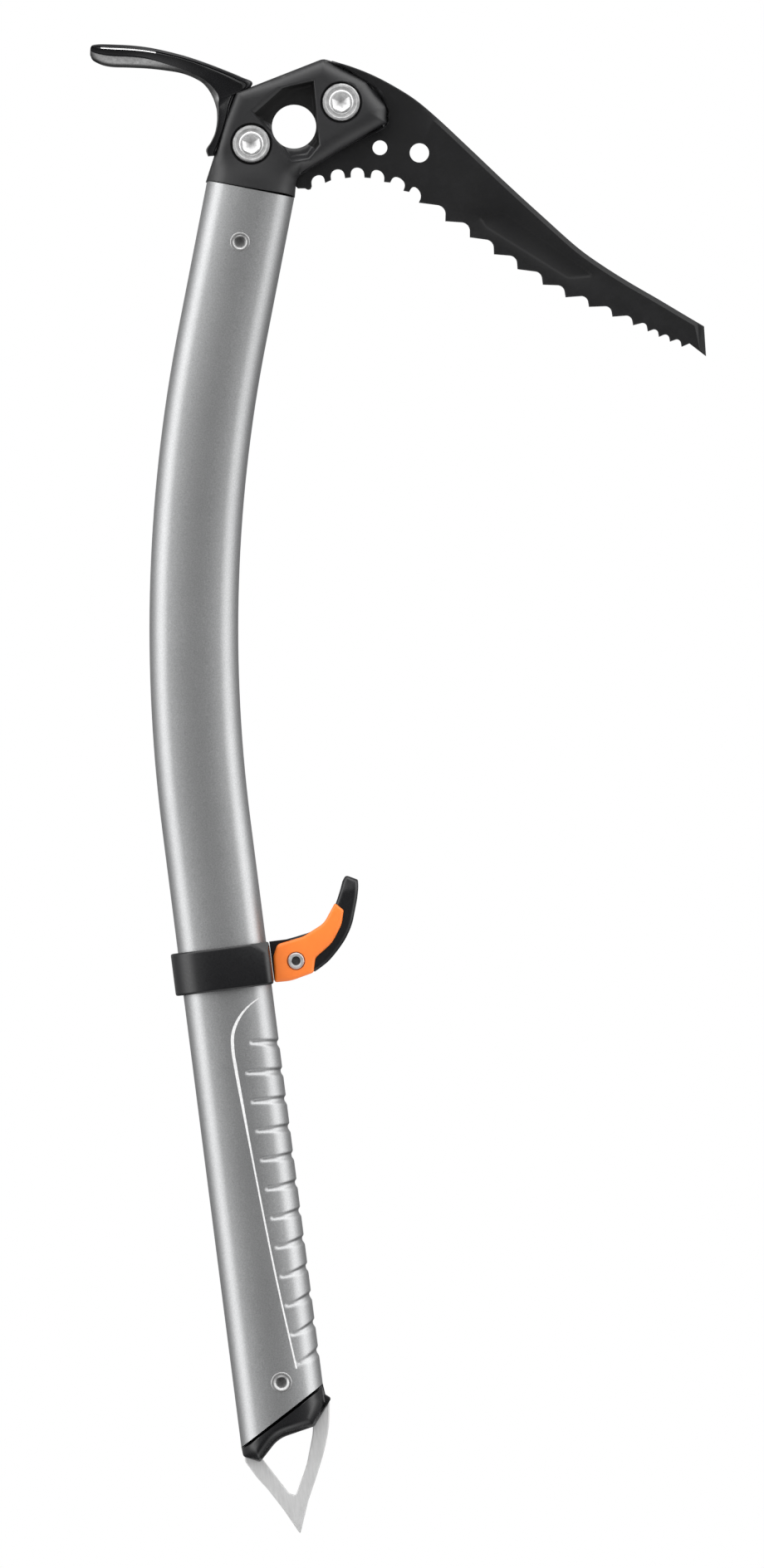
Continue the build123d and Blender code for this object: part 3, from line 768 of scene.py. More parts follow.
HEAD_CORNERS = [
    (-35.7, -16.6, 0), (-31.3, -7.4, 3), (-25.2, 5.9, 15), (-20.0, 15.7, 1.6), (-13.9, 16.8, 3),
    (14.2, 23.9, 4), (21.8, 20.3, 6), (34.6, 9.2, 8), (37.2, -4.0, 6), (16.2, -11.2, 20),
    (-1.6, -19.6, 3), (-3.1, -26.6, 0),
]
HEAD_FACE = 10.2
# How far the head's foot stands out from the shaft, and the heights over which it turns into
# the block.
FOOT_GROW, FOOT_BLEND = 0.4, (3.0, 15.0)
BOLT_TOP, BOLT_SEAT = 10.35, 6.5
# Each counterbore has a rim that stands a little low. Rings of points lie beside its steps.
COUNTERBORE_RADIUS, RIM_RADIUS, RIM_FACE = 7.55, 8.0, 9.4
COUNTERBORE_RINGS = (7.5, 7.6, 8.05)
HOLE_CHAMFER, HOLE_CHAMFER_DEPTH = 0.9, 0.7
HOLE_RINGS = (8.75, 9.3)
POCKET_EDGES = [
    # Edge start, edge end, width of the slope inside it.
    ((-15.4, 8.0), (-4.8, 15.2), 6.0),
    ((-4.8, 15.2), (9.9, 16.6), 2.2),
    ((9.9, 16.6), (8.9, -8.5), 1.3),
    ((8.9, -8.5), (4.2, -13.2), 2.2),
    ((4.2, -13.2), (-2.6, -13.2), 2.4),
    ((-2.6, -13.2), (-15.4, 8.0), 1.3),
]
POCKET_DEPTH = 4.2
SHADE_SHARE = 0.3
# Painted shade: the recess is coloured a darker black above this sloping line, which the hole
# interrupts, to stand in for the shade in the pocket.
SHADE_LEVEL, SHADE_SLOPE = -4.3, -0.73
SHADE_LIMITS = [(-17.0, -8.25), (4.1, 8.5)]
# How far from a corner of the border one rounding gives way to the next.
ROUNDING_BLEND = 1.5
HEAD_ROUNDING = [
    # Border start, border end, width and depth of the rounding inside it.
    ((-20.0, 15.7), (-10.0, 17.7), 4.6, 3.2),
    ((-10.0, 17.7), (14.2, 23.9), 5.5, 4.0),
    ((14.2, 23.9), (29.5, 13.6), 6.5, 5.0),
    ((29.5, 13.6), (35.9, 3.1), 8.0, 6.0),
    ((35.9, 3.1), (35.0, -3.5), 8.0, 6.2),
    ((35.0, -3.5), (16.2, -11.2), 7.0, 6.0),
    ((16.2, -11.2), (-1.6, -19.6), 6.5, 5.5),
    ((-31.3, -7.4), (-25.2, 5.9), 4.0, 3.0),
    ((-25.2, 5.9), (-20.0, 15.7), 4.0, 3.0),
]


def pocket_sides():
    """Each edge of the pocket: its start, its normal into the pocket and its slope's width."""
    for start, end, width in POCKET_EDGES:
        run = np.array(end) - start
        yield start, np.array([run[1], -run[0]]) / np.linalg.norm(run), width


def pocket_depth(points):
    """The recess round the carabiner hole: steep on the right, a long slope from the left."""
    share = np.full(len(points), np.inf)
    for start, normal, width in pocket_sides():
        share = np.minimum(share, ((points - start) @ normal) / width)
    return POCKET_DEPTH * smoothstep(0, 1, share)


def pocket_ring(share):
    """The line inside the pocket where its slope has come down by a share of its width."""
    lines = [(normal, normal @ start + share * width) for start, normal, width in pocket_sides()]
    corners = []
    for (normal1, reach1), (normal2, reach2) in zip(lines, lines[1:] + lines[:1]):
        corners.append(np.linalg.solve([normal1, normal2], [reach1, reach2]))
    return np.array(corners)


def head_rounding(points):
    """How far the face falls away toward the head's border, on elliptical roundings."""
    away = [distance_to(points, np.array([a, b]), False) for a, b, _, _ in HEAD_ROUNDING]
    nearest = np.min(away, axis=0)
    weight = np.exp((nearest - np.array(away)) / ROUNDING_BLEND)
    sizes = np.array([edge[2:] for edge in HEAD_ROUNDING])
    width, depth = ((weight * size[:, None]).sum(axis=0) / weight.sum(axis=0) for size in sizes.T)
    return depth * (1 - quarter_circle(nearest / width))


def head_height(points):
    """An oval foot that turns into a flat block, with the pocket, counterbores and hole."""
    rel = points - JOINT
    tube = side_of_oval(np.abs(rel @ HEAD_ACROSS), grow=FOOT_GROW, right=0.3)
    block = HEAD_FACE - head_rounding(points) - pocket_depth(points)
    height = tube + (block - tube) * smoothstep(*FOOT_BLEND, rel @ HEAD_AXIS)
    for bolt in (FRONT_BOLT, REAR_BOLT):
        away = np.linalg.norm(points - bolt[XZ], axis=1)
        height = np.where(away < RIM_RADIUS, np.minimum(height, RIM_FACE), height)
        height = np.where(away < COUNTERBORE_RADIUS, BOLT_SEAT, height)
    hole = np.linalg.norm(points, axis=1)
    chamfer = 1 - smoothstep(HOLE_RADIUS, HOLE_RADIUS + HOLE_CHAMFER, hole)
    return height - HOLE_CHAMFER_DEPTH * chamfer


def shade_line(x):
    return SHADE_LEVEL + SHADE_SLOPE * x


def make_head():
    outline = rounded(HEAD_CORNERS)
    rings = [circle(bolt[XZ], radius, 72)
             for bolt in (FRONT_BOLT, REAR_BOLT) for radius in COUNTERBORE_RINGS]
    rings += [circle((0, 0), radius, 72) for radius in HOLE_RINGS]
    rings.append(inset(outline, 0.5))
    rings += [pocket_ring(share) for share in (0.0, SHADE_SHARE, 1.0)]
    lines = [(ring, True) for ring in rings]
    lines += [(np.array([(x, shade_line(x)) for x in ends]), False) for ends in SHADE_LIMITS]
    hole = circle((0, 0), HOLE_RADIUS, 72)
    shell = relief(outline, head_height, [hole], lines, spacing=0.6)
    centres = face_centres(shell)
    # Painted shade: the pocket's deeper faces above the sloping line get the darker black, for the
    # shade in the pocket.
    deep = pocket_depth(centres[:, XZ]) > POCKET_DEPTH * smoothstep(0, 1, SHADE_SHARE)
    recess = [(POCKET_SHADE_BLACK, np.flatnonzero(deep & (centres[:, 2] > shade_line(centres[:, 0]))))]
    add_piece("head_forging", shell, "axe", HEAD_BLACK, ["head"], 50, recess)


def make_bolt(name, centre, node_name):
    """The visible head of a bolt, from its seat to the bottom of its hexagonal socket."""
    top = BOLT_TOP
    profile = [
        (4.0, 9.5), (4.0, -BOLT_SEAT), (7.0, -BOLT_SEAT), (7.0, 0.5 - top), (6.6, -top),
        (6.0, -(top + 0.05)), (5.85, 0.15 - top), (5.6, 0.2 - top), (4.6, 0.2 - top),
        (4.45, -(top + 0.05)), (4.2, -(top + 0.2)), (3.55, -(top + 0.2)), (3.3, 0.1 - top),
        (3.2, 1.6 - top), (2.2, 2.1 - top), (0.9, 2.6 - top), (0.2, 2.7 - top),
    ]
    shell = lathe(centre, profile, hexagonal=(12, 13, 14))
    add_piece(name, shell, "axe", BOLT_STEEL, [node_name], 35)


def make_nut(name, centre, node_name):
    """A hexagon nut with chamfered corners and a bevelled thread hole."""
    seat, top, half = 5.0, 10.0, 6.5
    profile = [
        (4.0, seat + 1.0), (4.5, seat), (half, seat), (half, top - 0.9), (half * 0.93, top),
        (4.6, top), (4.0, top - 0.6),
    ]
    shell = lathe(centre, profile, hexagonal=(2, 3), closed=True)
    add_piece(name, shell, "axe", BOLT_STEEL, [node_name], 30)


# ---------------------------------------------------------------- pick

PICK_SPINE = [
    (17.4, 22.8), (24.9, 19.4), (32.2, 15.3), (39.5, 10.2), (46.6, 4.3), (53.3, -2.9),
    (65.0, -17.0), (76.5, -31.1), (88.5, -45.3), (100.9, -59.5), (108.8, -66.8),
    (117.9, -74.3), (127.7, -81.8), (137.4, -89.4), (143.7, -94.3),
]
SCALLOP_LOBE = [(-1.5, -23.3), (1.1, -23.6), (2.2, -24.3), (3.2, -24.2)]
SCALLOPS = [
    # Left and right end of each notch, and the way its arch rises from the line between them.
    ((3.8, -23.2), (8.9, -22.5), (0.0, 3.5)),
    ((11.3, -21.8), (16.6, -21.7), (0.0, 3.7)),
    ((18.8, -21.7), (23.9, -22.4), (0.3, 3.7)),
    ((26.2, -22.9), (31.0, -25.0), (0.8, 3.6)),
    ((33.3, -25.5), (37.8, -29.2), (1.7, 2.9)),
    ((39.9, -29.9), (43.0, -34.4), (1.9, 2.8)),
]
LARGE_TEETH = [
    (43.0, -34.4), (52.0, -42.6), (60.4, -49.8), (68.6, -57.3), (76.7, -64.0),
    (85.4, -71.0), (93.3, -76.8), (101.6, -81.5), (109.9, -86.3), (117.2, -90.5),
]
SMALL_TEETH = [(122.4, -93.5), (126.3, -96.1), (130.2, -98.4), (134.3, -100.9)]
# The notches behind the first tooth, the least they shrink to, and the change at each tooth.
NOTCH_RISE, NOTCH_LEAN, NOTCH_STEP = (5.6, 3.4), (0.9, -0.15), 0.22
# How round the notches are, as a share of their rise.
LARGE_ROUNDING, SMALL_ROUNDING = 0.6, 0.45
PICK_HOLES = [((31.1, -12.0), 2.8), ((45.6, -15.8), 3.65)]
PICK_TAIL = [(-8.0, -15.0), (-8.0, 12.0), (12.0, 19.0)]
FULLER = [
    (63.9, -42.4, 1.2), (66.4, -47.2, 2.0), (95.0, -70.6, 5.0), (105.8, -71.0, 1.2),
    (103.4, -67.6, 3.0), (74.5, -41.4, 5.0),
]
PICK_HALF = 2.0
PICK_CHAMFER = 0.4
# How much each face draws in toward the tip, and between which values of X.
TIP_TAPER, TIP_TAPER_SPAN = 0.35, (95, 143)
# The ground bevel along the spine, which fades in from the head.
SPINE_BEVEL, SPINE_BEVEL_DEPTH, SPINE_FADE = 1.7, 1.15, (46, 60)
SPINE_GROUND = PICK_SPINE[4:]
FULLER_SLOPE, FULLER_DEPTH = 1.4, 0.5
# The blunt end of the pick, the line behind it where its facets start, and their size.
TIP_EDGE = np.array([(143.7, -94.3), (143.0, -105.6)])
TIP_LINE = np.array([(141.5, -92.9), (140.9, -103.2)])
TIP_FACET, TIP_FACET_DEPTH = 2.2, 0.9


def tooth_line():
    """Tooth points and the rounded notches between them, which grow smaller and lean back."""
    teeth = LARGE_TEETH + SMALL_TEETH
    out = [np.array([teeth[0]])]
    for index, ((x0, z0), (x1, z1)) in enumerate(zip(teeth, teeth[1:])):
        shrink = NOTCH_STEP * index
        rise, lean = (max(least, first - shrink) for first, least in (NOTCH_RISE, NOTCH_LEAN))
        rounding = (LARGE_ROUNDING if index < len(LARGE_TEETH) - 1 else SMALL_ROUNDING) * rise
        notch = rounded([(x0, z0, 0), (x1 + lean, z1 + rise, rounding), (x1, z1, 0)], 0.4)
        out.append(notch[1:])
    return np.concatenate(out)


def scallop_line():
    """The scalloped edge: blunt lobes with a steep-sided arch between each two."""
    out = [np.array(SCALLOP_LOBE)]
    turn = np.linspace(0, math.pi, 15)[:, None]
    for left, right, rise in SCALLOPS:
        left, right = np.array(left), np.array(right)
        base = left + (right - left) * (1 - np.cos(turn)) / 2
        out.append(base + np.array(rise) * np.abs(np.sin(turn)) ** 0.6)
    return np.concatenate(out)


def pick_outline():
    tip = np.array([TIP_EDGE[1], (137.4, -100.0)])
    edge = [tooth_line()[::-1], scallop_line()[::-1][1:], np.array(PICK_TAIL)]
    return np.concatenate([spline(PICK_SPINE, 1.5), tip, *edge])


def spine_bevel(points):
    """How far the ground bevel along the spine cuts back each face."""
    ground = nearness(points, spline(SPINE_GROUND, 1.0), SPINE_BEVEL, False)
    return SPINE_BEVEL_DEPTH * smoothstep(*SPINE_FADE, points[:, 0]) * ground


def pick_height(points):
    """Flat faces that thin toward the tip, less the chamfers, bevels and fuller."""
    half = PICK_HALF - TIP_TAPER * smoothstep(*TIP_TAPER_SPAN, points[:, 0])
    chamfer = PICK_CHAMFER * nearness(points, PICK_OUTLINE, PICK_CHAMFER)
    facet = TIP_FACET_DEPTH * nearness(points, TIP_EDGE, TIP_FACET, False)
    fuller = FULLER_DEPTH * smoothstep(0, FULLER_SLOPE, depth_in(points, FULLER_OUTLINE))
    return half - np.maximum(np.maximum(chamfer, spine_bevel(points)), facet) - fuller


PICK_OUTLINE = counterclockwise(pick_outline())
FULLER_OUTLINE = rounded(FULLER, 0.8)


def make_pick():
    holes = [circle(centre, radius, 48) for centre, radius in PICK_HOLES]
    holes.append(circle((0, 0), HOLE_RADIUS + 0.2, 48))
    spine = spline(SPINE_GROUND, 1.5)
    bevel = (spine - normals_of(spine) * SPINE_BEVEL)[:-2]
    rings = [FULLER_OUTLINE, inset(FULLER_OUTLINE, 0.7), inset(FULLER_OUTLINE, FULLER_SLOPE)]
    rings += [circle(centre, radius + 0.4, 48) for centre, radius in PICK_HOLES]
    lines = [(inset(PICK_OUTLINE, PICK_CHAMFER), True), (bevel, False)]
    lines += [(ring, True) for ring in rings] + [(TIP_LINE, False)]
    shell = relief(PICK_OUTLINE, pick_height, holes, lines)
    add_piece("pick_blade", shell, "axe", PICK_BLACK, ["pick"], 20)


# ---------------------------------------------------------------- adze

# Pairs of points on the upper and the lower line of the adze, from the blade's tip to the foot
# of the stem, each with the half width there and how deep the underside is hollowed.
ADZE_PAIRS = [
    ((-72.1, 38.9), (-72.5, 37.4), 22.0, 0.55),
    ((-71.3, 39.6), (-72.6, 35.7), 22.4, 0.5),
    ((-68.8, 39.6), (-70.2, 33.4), 22.4, 0.5),
    ((-64.5, 39.0), (-66.0, 31.6), 21.8, 0.5),
    ((-57.5, 37.8), (-58.6, 30.3), 20.5, 0.5),
    ((-50.5, 36.1), (-52.1, 29.1), 18.5, 0.5),
    ((-43.5, 33.7), (-45.6, 27.5), 16.0, 0.5),
    ((-37.0, 31.1), (-39.6, 25.6), 13.6, 0.52),
    ((-30.5, 28.0), (-35.1, 23.2), 11.8, 0.6),
    ((-24.0, 24.6), (-32.2, 20.9), 10.4, 0.72),
    ((-17.5, 20.9), (-30.0, 17.6), 9.4, 0.8),
    ((-13.7, 18.3), (-29.0, 15.0), 8.8, 0.84),
    ((-15.0, 16.6), (-28.6, 13.4), 8.6, 0.84),
    ((-19.4, 15.5), (-28.3, 11.6), 8.5, 0.8),
    ((-22.2, 11.8), (-28.1, 9.4), 8.5, 0.72),
    ((-24.3, 6.6), (-28.5, 5.8), 8.5, 0.66),
    ((-26.4, 2.0), (-29.7, 1.7), 8.5, 0.66),
    ((-28.6, -2.4), (-31.9, -2.0), 8.5, 0.66),
    ((-30.2, -5.6), (-34.0, -4.8), 8.5, 0.7),
    ((-31.0, -7.0), (-33.6, -6.9), 8.3, 0.8),
]
CROWN_POINTS, SIDE_POINTS, HOLLOW_POINTS = 13, 15, 15
# Where the painted highlight along the groove and the rim with its painted reflection start among
# the points of the side.
HIGHLIGHT_POINT, RIM_POINT = 4, 10
HIGHLIGHT_ENDS = (-68.5, -48)
CROWN_INSET, CROWN_RISE = 1.3, 0.35
RIM_WIDTH = 3.3
# How far down the side the rim starts, and how much lower it gets toward the stem, along X.
RIM_SHARE, RIM_DROP, RIM_DROP_SPAN = 0.5, 0.34, (-56, -35)
# Depth of the groove along the side, as a share of the blade's height up to a limit.
SIDE_GROOVE, SIDE_GROOVE_LIMIT = 0.12, 8.0


def adze_section(upper, lower, half, hollow):
    """A closed loop across the blade: crowned top, ribbed side, bevelled rim, hollow below."""
    rim_share = RIM_SHARE + RIM_DROP * smoothstep(*RIM_DROP_SPAN, lower[0])
    upper, lower = np.array(upper), np.array(lower)
    down = lower - upper
    height = np.linalg.norm(down)
    groove = SIDE_GROOVE * min(height, SIDE_GROOVE_LIMIT)
    side = [
        # Share of the way down, and how far the side stands in from the half width.
        (0.00, CROWN_INSET), (0.02, 0.6), (0.05, 0.15), (0.12, 0.0), (0.14, 0.5), (0.23, 0.05),
        (0.25, groove), (0.35, 1.2 * groove), (0.50, groove), (0.55, 0.3 * groove), (0.58, 0.0),
        (0.70, 0.5), (0.88, 1.5), (0.97, 2.1), (1.00, 2.7),
    ]
    # The lower half of the side, which holds the rim, is drawn together toward the stem.
    side = [
        (half - inward,
         share if share < RIM_SHARE else 1 - (1 - share) * (1 - rim_share) / (1 - RIM_SHARE))
        for share, inward in side
    ]
    crown = [(share * (half - CROWN_INSET), -CROWN_RISE * (1 - share**2) / height)
             for share in np.linspace(-0.9, 0.9, CROWN_POINTS)]
    step = [(half - RIM_WIDTH + 0.5, 0.985), (half - RIM_WIDTH, 0.93)]
    under = [(t * (half - RIM_WIDTH - 0.4), hollow + 0.05 * t * t)
             for t in np.linspace(1, -1, HOLLOW_POINTS)]
    back = [(-y, share) for y, share in reversed(side + step)]
    y, share = np.array(crown + side + step + under + back).T
    return with_y(upper + share[:, None] * down, y)


def make_adze():
    """The blade and its stem, smoothed between the measured pairs."""
    rows = np.array([(*upper, *lower, half, hollow) for upper, lower, half, hollow in ADZE_PAIRS])
    places = np.arange(len(rows))
    fine = np.linspace(0, len(rows) - 1, (len(rows) - 1) * 5 + 1)
    smooth = []
    for column in rows.T:
        sampled = spline(np.stack([places, column], axis=1), 0.02)
        smooth.append(np.interp(fine, sampled[:, 0], sampled[:, 1]))
    loops = [adze_section(row[:2], row[2:4], row[4], row[5]) for row in zip(*smooth)]
    tops = np.array([loop[0, 0] for loop in loops[:-1]])
    # Painted highlight: on the rows between these X, a strip near the top of the side gets the
    # near-white steel colour.
    lit = (tops > HIGHLIGHT_ENDS[0]) & (tops < HIGHLIGHT_ENDS[1])
    highlight_faces = side_strip(loops, HIGHLIGHT_POINT, HIGHLIGHT_POINT + 1)[lit]
    # Painted reflection: the rim below gets the lighter steel colour for the light it catches.
    rim_faces = side_strip(loops, RIM_POINT, SIDE_POINTS - 1)
    bright = [(ADZE_RIM_REFLECTION, rim_faces.ravel()), (ADZE_PAINTED_HIGHLIGHT, highlight_faces.ravel())]
    add_piece("adze_blade", loft(loops), "axe", ADZE_BLACK, ["adze"], 45, bright)


def side_strip(loops, first, last):
    """Faces between two points of the side's profile, on both sides, a row for each section."""
    count = len(loops[0])
    places = [CROWN_POINTS + place for place in range(first, last)]
    places += [count - 2 - place for place in range(first, last)]
    return np.array([[row * count + place for place in places] for row in range(len(loops) - 1)])


# ---------------------------------------------------------------- spike and end plug

SPIKE_OUTLINE = [
    (-65.05, -526.6, 0.3), (-60.4, -514.3, 20), (-56.4, -506.2, 60), (-52.1, -496.7, 60),
    (-49.1, -487.8, 40), (-47.7, -478.4, 1), (-52.0, -475.5, 1), (-76.0, -487.0, 1),
    (-82.1, -494.5, 1), (-82.3, -496.6, 0.8), (-78.6, -503.3, 30), (-75.0, -508.3, 40),
    (-70.2, -516.5, 40),
]
SPIKE_WINDOW = [
    (-77.4, -493.6, 1.0), (-67.3, -510.8, 1.2), (-64.9, -511.9, 0.7), (-59.4, -501.0, 20),
    (-55.8, -490.3, 20), (-54.4, -483.0, 1.5), (-66.0, -487.0, 2.0),
]


def spike_height(points):
    """Flat faces, thinner at the point, with a chamfer outside and a smaller one inside."""
    chamfer = SPIKE_CHAMFER * nearness(points, SPIKE_EDGE, SPIKE_CHAMFER)
    window = WINDOW_CHAMFER_DEPTH * nearness(points, SPIKE_HOLE, WINDOW_CHAMFER)
    sharpen = POINT_TAPER * smoothstep(*POINT_TAPER_SPAN, points[:, 1])
    return PICK_HALF - sharpen - np.maximum(chamfer, window)


SPIKE_EDGE = counterclockwise(rounded(SPIKE_OUTLINE))
SPIKE_HOLE = counterclockwise(rounded(SPIKE_WINDOW, 0.5))
SPIKE_CHAMFER, WINDOW_CHAMFER, WINDOW_CHAMFER_DEPTH = 0.45, 0.35, 0.3
# How much each face draws in toward the spike's point, and between which heights.
POINT_TAPER, POINT_TAPER_SPAN = 0.9, (-514, -526)


def make_spike():
    lines = [(inset(SPIKE_EDGE, SPIKE_CHAMFER), True), (inset(SPIKE_HOLE, -WINDOW_CHAMFER), True)]
    shell = relief(SPIKE_EDGE, spike_height, [SPIKE_HOLE], lines, spacing=2.0)
    add_piece("spike_point", shell, "axe", SPIKE_STEEL, ["spike"], 25)


PLUG_CORNERS = [
    (*FOOT_REAR, 0), (-82.6, -494.8, 1.4), (-76.6, -497.7, 0.9), (-68.6, -489.8, 12),
    (-54.6, -486.9, 1.2), (-46.9, -477.2, 0.9), (-49.0, -475.5, 0.4), (*FOOT_FRONT, 0),
]
# Half the plug's width at its lower edge and at least, and how far up it is rounded over.
PLUG_EDGE_HALF, PLUG_LEAST_HALF, PLUG_ROLL = 2.4, 2.05, 4.5


def plug_height(points):
    """The shaft's own section, rounded over along the lower edge, with a shallow groove."""
    across = np.clip(points[:, 0] - SHAFT_X, 0.05 - SHAFT_DEPTH / 2, SHAFT_DEPTH / 2 - 0.4)
    lower = PLUG_OUTLINE[PLUG_OUTLINE[:, 1] < foot_height(PLUG_OUTLINE[:, 0]) - 0.5]
    roll = quarter_circle(distance_to(points, lower, False) / PLUG_ROLL)
    below = foot_height(points[:, 0]) - points[:, 1]
    seam = 0.2 * np.exp(-((below - 0.5) / 0.5) ** 2)
    full = PLUG_EDGE_HALF + (side_of_oval(across) - PLUG_EDGE_HALF) * roll
    return np.maximum(full - seam, PLUG_LEAST_HALF)


PLUG_OUTLINE = counterclockwise(rounded(PLUG_CORNERS, 0.5))


def make_end_plug():
    lines = [(inset(PLUG_OUTLINE, d), True) for d in (0.25, 0.8)]
    shell = relief(PLUG_OUTLINE, plug_height, [], lines, spacing=0.5)
    add_piece("end_cap", shell, "axe", PLUG_BLACK, ["end_plug"], 50)


# ---------------------------------------------------------------- hand rest

REST_BOTTOM, REST_TOP = low_of("rest_band")[2], high_of("rest_band")[2]
HOUSING_FRONT_X = -48.6
HOUSING_CORNER = 3.0
SWING = 10.4
TONGUE_HALF, SLOT_HALF = 2.6, 7.3
PIVOT_XZ = PIVOT[XZ]
PIN_RADIUS = 2.45


def housing_loop(grow, z):
    """The collar's outline from above: the shaft's oval behind, a squared-off front."""
    loop = section_at(z - BEND_START_Z, grow, 144)
    half = SHAFT_WIDTH / 2 + grow
    front = HOUSING_FRONT_X + grow - BAND_OUTER
    square = rounded([
        (SHAFT_X, -half, 0), (front, -half, HOUSING_CORNER),
        (front, half, HOUSING_CORNER), (SHAFT_X, half, 0),
    ], 0.5)
    rear = loop[loop[:, 0] < SHAFT_X - 0.01]
    rear = rear[np.argsort(-np.arctan2(rear[:, 1], SHAFT_X - rear[:, 0]))]
    return np.concatenate([np.insert(square, 2, z, axis=1), rear])


def tongue_height(points):
    return np.full(len(points), TONGUE_HALF)


def make_band():
    """The collar with softened rims, open at the front for the lever's cam ends."""
    low, high = REST_BOTTOM, REST_TOP
    rim = [(0.9, 0.0), (0.35, 0.12), (0.05, 0.5), (0.0, 1.0)]
    profile = [(BAND_OUTER - inward, low + up) for inward, up in rim]
    profile += [(BAND_OUTER - inward, high - down) for inward, down in reversed(rim)]
    bore = loft([section_at(z - BEND_START_Z, BAND_INNER, 144) for z in (low - 5, high + 5)])
    drop = [PIVOT_XZ + corner for corner in ((-SWING, 0), (5, 0), (5, -20), (-SWING, -20))]
    slots = [prism(outline, -SLOT_HALF, SLOT_HALF) for outline in (circle(PIVOT_XZ, SWING), drop)]
    wide = SHAFT_WIDTH / 2 + BAND_OUTER
    facet = [(-56.5, wide, high + 0.1), (-47.5, wide, high - 7.0), (-47.5, wide - 3.2, high + 0.1)]
    facets = []
    for side in (-1, 1):
        corners = np.array(facet) * (1, side, 1)
        facets.append(loft([corners, corners + (0, 5 * side, 5)]))
    collar = carve(loft([housing_loop(grow, z) for grow, z in profile]), [bore, *slots, *facets])
    add_piece("rest_collar", collar, "hand_rest", REST_BLACK, ["rest_band"], 40)
    root = rounded([
        (-48.3, high, 0), (-38.5, high, 1), (-32.2, -308.5, 6), (-32.8, -314.0, 6),
        (-38.0, -318.2, 5), (-48.3, -318.2, 0),
    ])
    tongue = relief(root, tongue_height, [circle(PIVOT_XZ, PIN_RADIUS, 32)])
    add_piece("rest_tongue", tongue, "hand_rest", REST_BLACK)


CHEEK_CORNERS = [
    (-48.2, -319.0, 0.8), (-47.5, -309.2, 5), (-45.4, -304.9, 2.5), (-35.5, -303.3, 12),
    (-27.0, -299.3, 8), (-21.9, -292.2, 0.5), (-18.9, -295.3, 1.0), (-20.4, -300.6, 10),
    (-24.8, -307.0, 12), (-31.8, -311.8, 2.5), (-33.2, -317.2, 1.2), (-42.0, -319.2, 15),
]
HORN_OUTER = [
    (-32.6, -316.9), (-29.8, -315.4), (-26.6, -313.3), (-21.1, -307.9), (-18.4, -304.3),
    (-16.3, -300.4), (-14.8, -296.1), (-13.4, -291.8), (-12.5, -288.0), (-12.2, -285.9),
]
HORN_TIP = [(-12.2, -284.6, 0.7), (-16.6, -282.3, 1.2)]
HORN_INNER = [
    (-18.1, -284.5), (-19.3, -287.5), (-21.8, -292.7), (-23.9, -295.9), (-26.6, -298.8),
    (-31.6, -301.6), (-36.6, -302.7), (-41.5, -303.45),
]
HORN_HALF = 5.7
HORN_TAPER, HORN_TAPER_SPAN = 1.2, (-289, -283)
# The horn is cut clear of the tongue: a boss round the pivot, and a wider sweep over it.
SWING_BOSS, SWING_TOP = 7.6, 9.7
SWEEP_START, SWEEP_END = math.radians(32), math.radians(228)


def rounded_height(points, outline, half, radius):
    """A flat face whose border rolls over in a quarter circle."""
    return half - radius * (1 - quarter_circle(distance_to(points, outline) / radius))


CHEEK_OUTLINE = counterclockwise(rounded(CHEEK_CORNERS, 0.5))
CHEEK_INNER, CHEEK_OUTER = 3.0, 6.6
# The recess for the screw's head, between two rings of points.
CHEEK_RECESS_RADIUS, CHEEK_RECESS = 3.42, 5.2
CHEEK_RECESS_RINGS = (3.4, 3.45)


def cheek_height(points):
    height = rounded_height(points, CHEEK_OUTLINE, CHEEK_OUTER, 1.1)
    away = np.linalg.norm(points - PIVOT_XZ, axis=1)
    return np.where(away < CHEEK_RECESS_RADIUS, CHEEK_RECESS, height)


def make_cheek(side, name, node_name):
    lines = [(inset(CHEEK_OUTLINE, d), True) for d in (0.1, 0.35, 0.7, 1.1)]
    lines += [(circle(PIVOT_XZ, radius, 48), True) for radius in CHEEK_RECESS_RINGS]
    hole = circle(PIVOT_XZ, PIN_RADIUS, 32)
    verts, faces = relief(CHEEK_OUTLINE, cheek_height, [hole], lines, 1.2)
    inner = verts[:, 1] * side < 0
    verts[inner, 1] = side * CHEEK_INNER
    shell = (verts, faces)
    add_piece(name, shell, "rest_lever", REST_ORANGE, [node_name], 35)


def horn_outline():
    tip = rounded([(*HORN_OUTER[-1], 0), *HORN_TIP, (*HORN_INNER[0], 0)], 0.4)
    return np.concatenate([
        spline(HORN_OUTER, 0.7)[:-1], tip[1:-1], spline(HORN_INNER, 0.7),
        np.array([(-41.5, -304.2), (-34.6, -307.2), (-34.0, -316.4)]),
    ])


HORN_OUTLINE = counterclockwise(horn_outline())


def horn_height(points):
    """Full width beyond the cheeks, narrow between them, thinner toward the tip."""
    tip = HORN_TAPER * smoothstep(*HORN_TAPER_SPAN, points[:, 1])
    wide = rounded_height(points, HORN_OUTLINE, HORN_HALF, 1.6) - tip
    return np.where(depth_in(points, CHEEK_OUTLINE) > 0.05, CHEEK_INNER - 0.02, wide)


